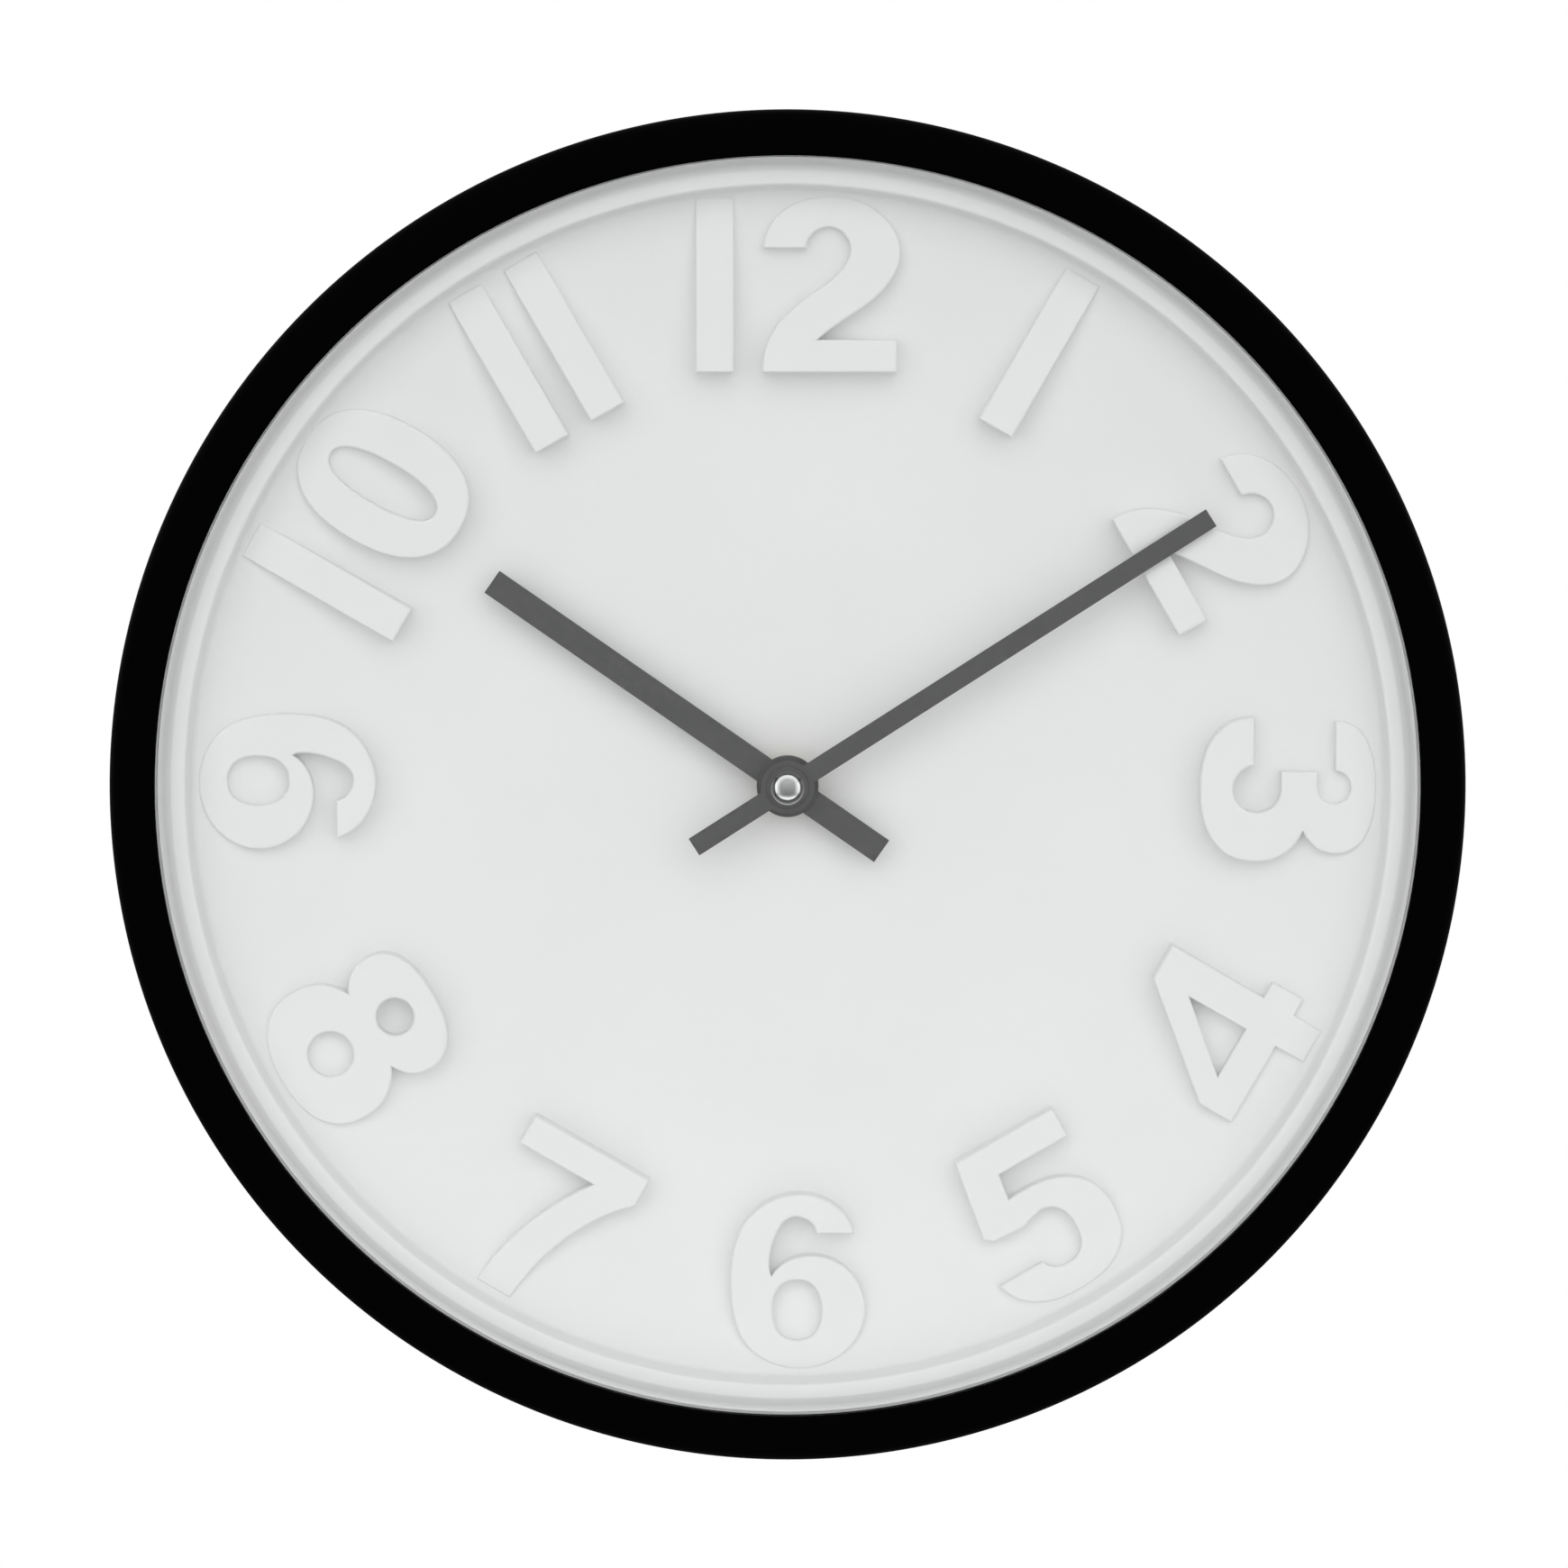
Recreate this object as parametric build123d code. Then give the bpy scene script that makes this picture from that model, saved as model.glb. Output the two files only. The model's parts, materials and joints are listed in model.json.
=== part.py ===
from build123d import *
import math
import os

os.makedirs("parts", exist_ok=True)

# Round quartz wall clock, sizes in mm. It is drawn lying on its back: z = 0 is
# the wall, z grows towards the reader, y points to twelve o'clock and the hands
# turn about z. The last step stands it up, with the keyhole at the origin.

# ---- case ----
case_diameter = 300.0
side_wall = 2.4
bezel_face = 10.1        # width of the ring seen from the front
bezel_lip = 2.0          # thickness of the ring in front of the lens
bezel_round = 2.5
ring_edge = 0.5          # rounding of the ring's inner edge
rear_lift = 2.0          # bezel's rear edge above the wall
skirt_wall = 1.8
skirt_depth = 12.0
rear_wall = 2.4
rear_play = 0.3          # between rear case and bezel
panel_depth = 0.8        # sunk panel in the rear face
rim_land = 21.0          # flat ring left outside the sunk panel
hub_land = 46.0          # radius of the flat left inside it
rib_wall = 2.0
rib_offset = 4.8         # rib's outside beyond the foot of the dial's lip
window_margin = 2.0      # round the movement
collar_wall = 1.6
collar_lap = 2.5         # how far the collar reaches past the movement's rear
boss_radius = 3.6
screw_count = 6
screw_radius = 1.4
screw_length = 13.0
screw_head = 2.9
thread_play = 0.05
screw_sink = 0.1         # heads below the surface
screw_slot = 0.6
slot_depth = 0.8

# ---- lens and its gasket ----
lens_thickness = 2.0
lens_lap = 2.6           # reach of the lens behind the bezel's ring
seat_play = 0.4
gasket_thickness = 0.8
gasket_inset = 0.3       # behind the ring's inner edge
lens_edge = 0.25

# ---- dial ----
dial_wall = 2.0
dish_start = 66.0        # the floor is flat inside this radius
lip_inset = 7.5          # from the bezel's ring to the foot of the lip
lip_width = 5.1
lip_lean = 0.8           # of its inner wall
lip_edge = 0.6
lip_round = 1.5
lip_drop = 0.5           # lip below the lens
groove_depth = 1.6
groove_width = 2.1
flange_depth = 4.7
flange_start = 1.6       # outside the foot of the lip
flange_play = 0.2
tube_play = 0.15
numeral_height = 38.6
numeral_rise = 7.0       # numerals' face above the floor
numeral_proud = 0.3      # how far their outer ends stand out of the dish
numeral_margin = 1.8     # from their outer ends to the foot of the lip

# ---- hands ----
minute_angle = 57.4      # the clock shows about ten past ten
minute_width = 4.4
minute_tail = 24.7
minute_hub = 6.0
hour_width = 5.9
hour_tail = 25.5
hour_hub = 6.9
hour_gap = 12.1          # hour hand's tip to the numerals
hand_thickness = 0.6
hub_rise = 0.4
hand_clearance = 1.4     # minute hand above the numerals
cap_radius = 3.7
cap_height = 3.0
cap_straight = 0.8       # plain band below the dome
cap_wall = 1.5
cap_stud = 0.1           # end of the arbor below the cap's wall
lens_clearance = 1.2

# ---- movement ----
movement_size = 56.0
movement_depth = 16.0
movement_lift = 6.5      # its rear face above the wall
movement_wall = 1.2
corner_radius = 3.0
pad_thickness = 0.8      # rubber between movement and dial
tube_radius = 4.0
tube_length = 7.0
pipe_radius = 2.55
minute_radius = 1.6
hub_square = 1.3         # radius of the minute arbor where the hand sits
hub_flats = 2.0          # across its two flats
collet_radius = 3.3
collet_flange = 4.6
collet_depth = 0.7
hub_chamfer = 0.25
friction_radius = 1.2    # minute arbor inside the centre wheel
stub_radius = 0.6        # minute wheel's front arbor
stub_depth = 0.8
stem_radius = 1.2        # minute wheel's stem to the knob
stem_play = 0.1
key_radius = 0.8         # minute wheel's spigot in the knob
key_depth = 2.6
seconds_radius = 0.45
running_play = 0.07
press_play = 0.02
nut_width = 10.0
nut_height = 2.4
washer_thickness = 0.6
washer_radius = 6.2
battery_radius = 7.1
battery_length = 49.2
nub_length = 1.2
nub_radius = 2.6
battery_edge = 0.6
battery_shift = -0.6     # room for the spring at the other end
bay_height = 15.0        # battery bay, along y
divider_wall = 1.2
knob_radius = 6.0
knob_height = 4.4
knob_gap = 0.4
knob_grips = 20
knob_round = 0.8
grip_radius = 0.55
grip_offset = 0.15

# ---- wheels ----
work_distance = 9.6      # minute wheel's arbor from the hands' axis
train_distance = 9.0     # third and fifth wheels' arbors from the hands' axis
rotor_distance = 7.2
wheel_thickness = 0.7
pinion_thickness = 1.1
arbor_radius = 0.45
pivot_radius = 0.3
pivot_play = 0.05
pivot_length = 0.6
flank_play = 0.04        # taken off each flank
pressure_angle = math.radians(20)
wheel_tip = 0.6          # tooth heights beyond and within the pitch circle, in modules
wheel_root = 1.25
leaf_tip = 1.0
leaf_root = 0.85
centre_teeth = 80
third_teeth = 75
seconds_teeth = 60
fifth_teeth = 60
minute_teeth = 36
hour_teeth = 40
leaves = 10              # on every pinion but the rotor's and the minute arbor's
driver_leaves = 12

# ---- hanger ----
keyhole_from_edge = 45.0
keyhole_radius = 4.5
slot_width = 4.6
slot_length = 9.0
plate_width = 24.0
plate_height = 46.0
plate_thickness = 1.2
plate_screw_span = 36.0
plate_screw_radius = 1.25
plate_screw_head = 2.3
plate_screw_length = 7.0
plate_screw_sink = 0.08
plate_frame = 6.0        # unsunk border round the plate
plate_corner = 3.0
post_radius = 3.4
post_length = 9.0
pocket_width = 14.0      # room for the nail's head behind the plate
pocket_height = 26.0
pocket_rise = 2.0
plate_play = 0.2

# ---- worked out ----
case_radius = case_diameter / 2
ring_radius = case_radius - bezel_face
wall_radius = case_radius - side_wall
lip_foot = ring_radius - lip_inset
movement_front = movement_lift + movement_depth
dial_back = movement_front + pad_thickness
floor_level = dial_back + dial_wall
numeral_level = floor_level + numeral_rise
minute_level = numeral_level + hand_clearance
cap_top = minute_level + hand_thickness + hub_rise + cap_height
lens_back = cap_top + lens_clearance
lens_front = lens_back + lens_thickness
case_front = lens_front + bezel_lip
lip_level = lens_back - lip_drop
ridge_level = lens_back - gasket_thickness
flange_back = ridge_level - flange_depth
tube_front = movement_front + tube_length
hour_level = tube_front + 1.1
numeral_outer = lip_foot - numeral_margin
numeral_centre = numeral_outer - numeral_height / 2
numeral_inner = numeral_outer - numeral_height
minute_reach = numeral_centre
hour_reach = numeral_inner - hour_gap
hour_angle = 300 + minute_angle / 12
rise_at_end = numeral_rise - numeral_proud
dish_run = numeral_outer - dish_start
dish_radius = (dish_run ** 2 + rise_at_end ** 2) / (2 * rise_at_end)
keyhole_height = case_radius - keyhole_from_edge
boss_circle = wall_radius + 0.2 - boss_radius
lens_radius = ring_radius + lens_lap
seat_radius = lens_radius + seat_play
inner_half = movement_size / 2 - movement_wall
bay_top = bay_height - inner_half
split_level = movement_lift + movement_depth * 0.44
case_floor = movement_front - movement_wall
cover_floor = movement_lift + movement_wall

# levels of the wheels, front to back (each is a wheel's rear face)
hour_wheel_level = case_floor - 1.4
minute_wheel_level = hour_wheel_level - 1.6
centre_wheel_level = minute_wheel_level - 1.5
third_wheel_level = centre_wheel_level - 1.5
seconds_wheel_level = third_wheel_level - 1.5
fifth_wheel_level = seconds_wheel_level - 1.5
plate_front = fifth_wheel_level - 0.9
plate_back = plate_front - 0.8
stator_level = plate_back - 1.3
stator_thickness = 0.8
core_thickness = 0.8

# arbors, as (x, y) from the hands' axis
third_spot = (-train_distance, 0.0)
fifth_spot = (0.0, train_distance)
minute_wheel_spot = (work_distance, 0.0)
rotor_spot = (0.0, train_distance + rotor_distance)
coil_y = 22.4
battery_y = bay_top - bay_height / 2 - 0.1
clock_turn = -90.0       # turns a hand drawn along x to twelve


# ---- helpers ----
def revolved(section):
    """Turns a closed (radius, z) outline about the hands' axis."""
    face = make_face(section)
    return revolve(Plane.XZ * face, Axis.Z, 360)


def ring(outer, inner, low, high):
    tube = Circle(outer) - Circle(inner)
    return Pos(0, 0, low) * extrude(tube, high - low)


def disc(radius, low, high, spot=(0, 0)):
    return Pos(spot[0], spot[1], low) * extrude(Circle(radius), high - low)


def block(width, height, low, high, spot=(0, 0), corner=0.0):
    sheet = RectangleRounded(width, height, corner) if corner else Rectangle(width, height)
    return Pos(spot[0], spot[1], low) * extrude(sheet, high - low)


def outline(start, *steps):
    """A closed shape: one point is a line, two an arc, more a smooth curve."""
    edges = []
    here = start
    for step in steps:
        if len(step) == 1:
            edges.append(Line(here, step[0]))
        elif len(step) == 2:
            edges.append(ThreePointArc(here, step[0], step[1]))
        else:
            edges.append(Spline(here, *step))
        here = step[-1]
    return make_face(edges)


def rounded(corner, start, end):
    """A quarter round that replaces a square corner."""
    share = 1 - math.sqrt(0.5)
    middle = tuple(c + share * (a - c + b - c) for a, b, c in zip(start, end, corner))
    return ThreePointArc(start, middle, end)


def oval(across, up, squareness=2.3, count=24):
    """A rounded shape between an ellipse (2) and a rectangle."""
    points = []
    for i in range(count):
        angle = 2 * math.pi * i / count
        c, s = math.cos(angle), math.sin(angle)
        x = across * math.copysign(abs(c) ** (2 / squareness), c)
        y = up * math.copysign(abs(s) ** (2 / squareness), s)
        points.append((x, y))
    return make_face(Spline(*points, periodic=True))


# ---- numerals: x to the right, y up, centred on half their height ----
half_figure = 19.3       # half the height they are drawn at
bar_width = 8.5


def bar(x):
    return Pos(x, 0) * Rectangle(bar_width, 2 * half_figure)


def figure_zero():
    return oval(14.2, 19.8) - oval(4.9, 13.3)


def figure_two():
    return outline(
        (0.0, -19.3), [(29.8, -19.3)], [(29.8, -12.1)], [(12.1, -12.1)],
        [(20.5, -6.2), (27.2, -0.6), (30.6, 7.0), (26.2, 15.7), (15.3, 19.7), (4.9, 16.6), (0.2, 8.1)],
        [(9.8, 8.1)],
        [(11.3, 11.4), (15.3, 12.7), (19.4, 8.8), (17.8, 3.6), (11.8, -1.4), (4.6, -7.4), (0.0, -19.3)])


def figure_three():
    body = Pos(0.2, 10.6) * oval(14.8, 9.0) + Pos(0.7, -7.3) * oval(16.1, 12.3)
    body -= Pos(0.2, 10.2) * Circle(3.7)
    body -= Pos(0.6, -6.9) * Circle(5.3)
    body -= Pos(-13.3, 1.4) * Rectangle(20.0, 18.0)
    body -= Pos(-2.0, 8.5) * Rectangle(4.4, 3.8)
    return body - Pos(-1.8, -4.6) * Rectangle(4.8, 6.0)


def figure_four():
    frame = outline((4.0, -19.3), [(12.1, -19.3)], [(12.1, -12.1)], [(16.2, -12.1)], [(16.2, -4.3)],
                    [(12.1, -4.3)], [(12.1, 19.3)], [(3.6, 19.3)], [(-15.7, -3.9)], [(-15.7, -12.1)],
                    [(4.0, -12.1)], [(4.0, -19.3)])
    return frame - outline((4.0, 10.2), [(4.0, -4.4)], [(-8.4, -4.4)], [(4.0, 10.2)])


def figure_five():
    bowl = Pos(0.4, -6.4) * oval(15.7, 12.9) - Pos(0.9, -6.0) * oval(5.7, 6.7)
    bowl -= Pos(-9.6, -5.2) * Rectangle(21.0, 9.0)
    bowl -= Pos(-12.0, 6.0) * Rectangle(16.0, 14.0)
    flag = outline((-9.9, 19.3), [(-13.0, 1.2)], [(-11.2, -0.4)], [(-4.2, -0.8)], [(0.9, 0.6)],
                   [(0.9, 5.4)], [(-3.7, 5.6)], [(-2.7, 12.2)], [(15.0, 12.2)], [(15.0, 19.3)],
                   [(-9.9, 19.3)])
    return bowl + flag


def figure_six():
    body = outline(
        (14.9, 10.9),
        [(10.6, 17.2), (2.2, 19.7), (-8.7, 14.4), (-12.8, -1.0), (-8.7, -14.9), (2.2, -19.7),
         (13.4, -15.4), (17.4, -6.6), (13.6, 2.6), (5.4, 5.9), (0.0, 4.7), (-3.6, 1.2)],
        [(-3.4, 8.4), (1.6, 14.7), (5.3, 13.3), (6.5, 10.9)],
        [(14.9, 10.9)])
    return body - Pos(2.1, -6.4) * oval(5.5, 6.8)


def figure_seven():
    return outline(
        (-11.8, 19.3), [(-11.8, 12.2)], [(7.1, 12.2)],
        [(2.6, 5.6), (-1.2, -2.6), (-3.7, -10.4), (-4.9, -19.3)],
        [(3.6, -19.3)],
        [(4.5, -12.0), (6.4, -5.0), (9.6, 2.2), (13.0, 7.6), (17.5, 12.6)],
        [(17.5, 19.3)], [(-11.8, 19.3)])


def figure_eight():
    body = Pos(0.6, 10.6) * oval(14.3, 9.0) + Pos(0.9, -7.3) * oval(16.1, 12.3)
    return body - Pos(0.9, 9.7) * Circle(4.2) - Pos(1.0, -7.0) * Circle(5.1)


def figures():
    """The twelve figures by hour; ten and twelve are drawn as two shapes."""
    return {
        1: [bar(0)],
        2: [Pos(-15.4, 0) * figure_two()],
        3: [figure_three()],
        4: [figure_four()],
        5: [figure_five()],
        6: [figure_six()],
        7: [figure_seven()],
        8: [figure_eight()],
        9: [Pos(3.4, 0) * Rot(0, 0, 180) * figure_six()],
        10: [bar(-11.7), Pos(13.5, 0) * figure_zero()],
        11: [bar(-7.1), bar(7.1)],
        12: [bar(-16.1), Pos(-5.6, 0) * figure_two()],
    }


def reads_outwards(hour):
    return hour <= 3 or hour >= 9


def dish_height(radius):
    """Height of the dial's floor at a radius."""
    if radius <= dish_start:
        return floor_level
    return floor_level + dish_radius - math.sqrt(dish_radius ** 2 - (radius - dish_start) ** 2)


def dish_arc(depth, outer):
    """Section of the floor from its flat part out to the lip, sunk by depth."""
    middle = (dish_start + outer) / 2
    points = []
    for radius in (dish_start, middle, outer):
        tilt = math.asin((radius - dish_start) / dish_radius)
        points.append((radius + depth * math.sin(tilt), dish_height(radius) - depth * math.cos(tilt)))
    return points


def numeral(shape, hour):
    """One figure as a block stood on the dish."""
    low = floor_level - dial_wall
    solid = extrude(scale(shape, numeral_height / (2 * half_figure)), numeral_level - low)
    turn = 0 if reads_outwards(hour) else 180
    return Rot(0, 0, -30 * hour) * Pos(0, numeral_centre, low) * Rot(0, 0, turn) * solid


def dial():
    front = dish_arc(0, lip_foot)
    back = dish_arc(dial_wall, lip_foot)
    lip_outer = lip_foot + lip_width
    groove_level = lip_level - groove_depth
    groove_outer = lip_outer + groove_width
    flange_radius = lens_radius - flange_play
    bore = tube_radius + tube_play
    lip_inner = lip_foot + lip_lean
    lip_top = lip_inner + lip_edge
    section = [
        Line((bore, dial_back), (bore, floor_level)),
        Line((bore, floor_level), front[0]),
        ThreePointArc(*front),
        Line(front[2], (lip_inner, lip_level - lip_edge)),
        rounded((lip_inner, lip_level), (lip_inner, lip_level - lip_edge), (lip_top, lip_level)),
        Line((lip_top, lip_level), (lip_outer - lip_round, lip_level)),
        rounded((lip_outer, lip_level), (lip_outer - lip_round, lip_level),
                (lip_outer, lip_level - lip_round)),
        Line((lip_outer, lip_level - lip_round), (lip_outer, groove_level)),
        Line((lip_outer, groove_level), (groove_outer, groove_level)),
        Line((groove_outer, groove_level), (groove_outer, ridge_level)),
        Line((groove_outer, ridge_level), (flange_radius, ridge_level)),
        Line((flange_radius, ridge_level), (flange_radius, flange_back)),
        Line((flange_radius, flange_back), (lip_foot + flange_start, flange_back)),
        Line((lip_foot + flange_start, flange_back), back[2]),
        ThreePointArc(back[2], back[1], back[0]),
        Line(back[0], (bore, dial_back)),
    ]
    body = revolved(section)
    middle = dish_arc(dial_wall / 2, lip_foot)
    under = revolved([
        Line((0, 0), (0, floor_level - dial_wall / 2)),
        Line((0, floor_level - dial_wall / 2), middle[0]),
        ThreePointArc(*middle),
        Line(middle[2], (middle[2][0], 0)),
        Line((middle[2][0], 0), (0, 0)),
    ])
    for hour, shapes in figures().items():
        for shape in shapes:
            body += numeral(shape, hour) - under
    return body


# ---- case ----
def spread(piece, radius, count, start=0.0):
    """Copies of a piece on a circle about the hands' axis."""
    turns = [start + i * 360 / count for i in range(count)]
    return [Rot(0, 0, turn) * Pos(0, radius, 0) * piece for turn in turns]


def bezel():
    inner_side = (ring_radius, case_front - ring_edge)
    inner_face = (ring_radius + ring_edge, case_front)
    outer_face = (case_radius - bezel_round, case_front)
    outer_side = (case_radius, case_front - bezel_round)
    section = [
        Line((ring_radius, lens_front), inner_side),
        rounded((ring_radius, case_front), inner_side, inner_face),
        Line(inner_face, outer_face),
        rounded((case_radius, case_front), outer_face, outer_side),
        Line(outer_side, (case_radius, rear_lift)),
        Line((case_radius, rear_lift), (wall_radius, rear_lift)),
        Line((wall_radius, rear_lift), (wall_radius, lens_front)),
        Line((wall_radius, lens_front), (ring_radius, lens_front)),
    ]
    body = revolved(section)
    body += ring(seat_radius + skirt_wall, seat_radius, lens_front - skirt_depth, lens_front + 0.1)
    pilot = disc(screw_radius + thread_play, rear_wall, rear_wall + screw_length)
    post = disc(boss_radius, rear_wall, lens_front - skirt_depth) - pilot
    for boss in spread(post, boss_circle, screw_count, 30):
        body += boss
    return body


def lens():
    disc_body = disc(lens_radius, lens_back, lens_front)
    return chamfer(disc_body.edges(), lens_edge)


def lens_gasket():
    return ring(lens_radius - flange_play, ring_radius + gasket_inset, ridge_level, lens_back)


def countersunk(radius, head, length, top):
    """A flat-headed screw pointing to +z, its head's face at z = top."""
    cone = head - radius
    body = disc(radius, top, top + length)
    body += Pos(0, 0, top + cone / 2) * Cone(head, radius, cone)
    slot = Rectangle(head * 1.1, screw_slot) + Rectangle(screw_slot, head * 1.1)
    return body - Pos(0, 0, top) * extrude(slot, slot_depth)


def countersink(radius, head, depth, top):
    """The hole for such a screw, from z = 0, with play all round."""
    cone = head - radius
    rim = head + thread_play
    hole = disc(radius + thread_play, 0, depth)
    hole += disc(rim, 0, top)
    return hole + Pos(0, 0, top + cone / 2) * Cone(rim, radius + thread_play, cone)


def case_screws():
    screw = countersunk(screw_radius, screw_head, screw_length, screw_sink)
    return Compound(children=spread(screw, boss_circle, screw_count, 30))


def hanger_screw_spots():
    return [(0, keyhole_height + side * plate_screw_span / 2) for side in (-1, 1)]


def rear_case():
    floor_radius = wall_radius - rear_play
    body = disc(floor_radius, 0, rear_wall)
    panel = ring(floor_radius - rim_land, hub_land, 0, panel_depth)
    border = 2 * plate_frame
    pad = block(plate_width + border, plate_height + border, 0, panel_depth, (0, keyhole_height), 4)
    body -= panel - pad
    rib_outer = lip_foot + rib_offset
    body += ring(rib_outer, rib_outer - rib_wall, rear_wall, flange_back)
    window = movement_size + 2 * window_margin
    collar = window + 2 * collar_wall
    collar_top = movement_lift + collar_lap
    body += block(collar, collar, 0, collar_top, (0, 0), corner_radius + collar_wall)
    body -= block(window, window, 0, collar_top, (0, 0), corner_radius)
    play = 2 * plate_play
    seat = block(plate_width + play, plate_height + play, 0, plate_thickness, (0, keyhole_height),
                 plate_corner + plate_play)
    body -= seat
    pocket_spot = (0, keyhole_height + pocket_rise)
    body -= block(pocket_width, pocket_height, 0, rear_wall, pocket_spot, plate_corner)
    for spot in hanger_screw_spots():
        body += disc(post_radius, plate_thickness, post_length, spot)
        body -= disc(plate_screw_radius + thread_play, plate_thickness, post_length, spot)
    hole = countersink(screw_radius, screw_head, rear_wall, screw_sink)
    for screw_hole in spread(hole, boss_circle, screw_count, 30):
        body -= screw_hole
    return body


def hanger_plate():
    body = block(plate_width, plate_height, 0, plate_thickness, (0, keyhole_height), plate_corner)
    body -= disc(keyhole_radius, 0, plate_thickness, (0, keyhole_height))
    body -= block(slot_width, slot_length, 0, plate_thickness, (0, keyhole_height + slot_length / 2))
    body -= disc(slot_width / 2, 0, plate_thickness, (0, keyhole_height + slot_length))
    hole = countersink(plate_screw_radius, plate_screw_head, plate_thickness, plate_screw_sink)
    for x, y in hanger_screw_spots():
        body -= Pos(x, y, 0) * hole
    return body


def hanger_screws():
    screw = countersunk(plate_screw_radius, plate_screw_head, plate_screw_length, plate_screw_sink)
    return Compound(children=[Pos(x, y, 0) * screw for x, y in hanger_screw_spots()])


# ---- gears ----
def gear(teeth, module, thickness, addendum, dedendum, tooth_at):
    """Straight-flanked teeth inside the involute, one tooth at the angle tooth_at."""
    pitch = teeth * module / 2
    base = pitch * math.cos(pressure_angle)
    tip = pitch + addendum * module
    root = pitch - dedendum * module

    def half_angle(radius):
        phi = math.acos(min(1.0, base / max(radius, base)))
        lean = math.tan(phi) - phi
        at_pitch = math.tan(pressure_angle) - pressure_angle
        return math.pi / (2 * teeth) - flank_play / pitch + at_pitch - lean

    points = []
    for i in range(teeth):
        centre = math.radians(tooth_at) + 2 * math.pi * i / teeth
        foot = max(base, root)
        for radius, turn in ((root, -half_angle(foot)), (foot, -half_angle(foot)),
                             (tip, -half_angle(tip)), (tip, half_angle(tip)),
                             (foot, half_angle(foot)), (root, half_angle(foot))):
            points.append((radius * math.cos(centre + turn), radius * math.sin(centre + turn)))
    loop = [p for i, p in enumerate(points) if math.dist(p, points[i - 1]) > 1e-6]
    return extrude(make_face(Polyline(*loop, close=True)), thickness)


def wheel(teeth, module, mesh_angle):
    """A large wheel whose gap faces the pinion at mesh_angle."""
    body = gear(teeth, module, wheel_thickness, wheel_tip, wheel_root, mesh_angle + 180 / teeth)
    pitch = teeth * module / 2
    window = disc(pitch * 0.2, 0, wheel_thickness)
    for hole in spread(window, pitch * 0.56, 4, 45):
        body -= hole
    return body


def pinion(teeth, module, mesh_angle):
    """A small gear whose tooth points at the wheel at mesh_angle."""
    return gear(teeth, module, pinion_thickness, leaf_tip, leaf_root, mesh_angle)


def arbor(low, high, radius=arbor_radius):
    """A spindle with a thinner pivot at each end."""
    body = disc(radius, low, high)
    body += disc(pivot_radius, low - pivot_length, low)
    return body + disc(pivot_radius, high, high + pivot_length)


def on_arbor(body, spot):
    return Pos(spot[0], spot[1], 0) * body


boss_gap = 0.15          # end play between an arbor's shoulder and its bearing
shoulder_gap = 0.4
centre_hub = 1.9
seconds_tip = minute_level - 2.0
seconds_end_play = 0.5
front_bearing = third_wheel_level + 3.2   # where the front bearings end


def geared(low_wheel, teeth, module, wheel_angle, low_pinion, pinion_module, pinion_angle):
    body = Pos(0, 0, low_wheel) * wheel(teeth, module, wheel_angle)
    return body + Pos(0, 0, low_pinion) * pinion(leaves, pinion_module, pinion_angle)


def train_arbor():
    return arbor(plate_front + boss_gap, front_bearing - boss_gap)


third_module = 2 * train_distance / (leaves + third_teeth)
centre_module = 2 * train_distance / (leaves + centre_teeth)
seconds_module = 2 * train_distance / (leaves + seconds_teeth)
rotor_module = 2 * rotor_distance / (driver_leaves + fifth_teeth)
work_module = 2 * work_distance / (driver_leaves + minute_teeth)
hour_module = 2 * work_distance / (leaves + hour_teeth)
pinion_drop = (pinion_thickness - wheel_thickness) / 2
magnet_height = 1.5
magnet_radius = 2.3
magnet_gap = 0.6         # between the magnet and the stator
rotor_stem = 0.6
rotor_play = 0.25
magnet_top = stator_level + 0.9


def third_wheel():
    body = geared(third_wheel_level, third_teeth, third_module, 0,
                  centre_wheel_level - pinion_drop, centre_module, 0)
    return on_arbor(body + train_arbor(), third_spot)


def fifth_wheel():
    body = geared(fifth_wheel_level, fifth_teeth, rotor_module, 90,
                  seconds_wheel_level - pinion_drop, seconds_module, -90)
    return on_arbor(body + train_arbor(), fifth_spot)


def seconds_wheel():
    body = geared(seconds_wheel_level, seconds_teeth, seconds_module, 90,
                  third_wheel_level - pinion_drop, third_module, 180)
    body += disc(seconds_radius, plate_front + boss_gap, seconds_tip)
    return body + disc(pivot_radius, plate_front + boss_gap - pivot_length, plate_front + boss_gap)


def centre_wheel():
    body = Pos(0, 0, centre_wheel_level) * wheel(centre_teeth, centre_module, 180)
    body += disc(centre_hub, centre_wheel_level, centre_wheel_level + wheel_thickness)
    return body - disc(friction_radius + running_play, 0, movement_front)


def minute_arbor():
    shoulder = minute_wheel_level - shoulder_gap
    body = disc(friction_radius, centre_wheel_level - 0.2, shoulder)
    body += disc(minute_radius, shoulder, minute_level)
    body += Pos(0, 0, minute_wheel_level - pinion_drop) * pinion(driver_leaves, work_module, 0)
    body += disc(hub_square, minute_level, cap_top - cap_wall - cap_stud)
    for side in (-1, 1):
        body -= block(4, 2, minute_level, cap_top, (0, side * (hub_flats / 2 + 1)))
    return body - disc(seconds_radius + running_play, 0, seconds_tip + seconds_end_play)


def minute_wheel():
    body = geared(minute_wheel_level, minute_teeth, work_module, 180,
                  hour_wheel_level - pinion_drop, hour_module, 180)
    knob_top = movement_lift - knob_gap
    body += disc(stem_radius, knob_top, minute_wheel_level)
    body += disc(stub_radius, minute_wheel_level, case_floor + stub_depth)
    body += disc(key_radius, knob_top - key_depth, knob_top)
    return on_arbor(body, minute_wheel_spot)


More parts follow.
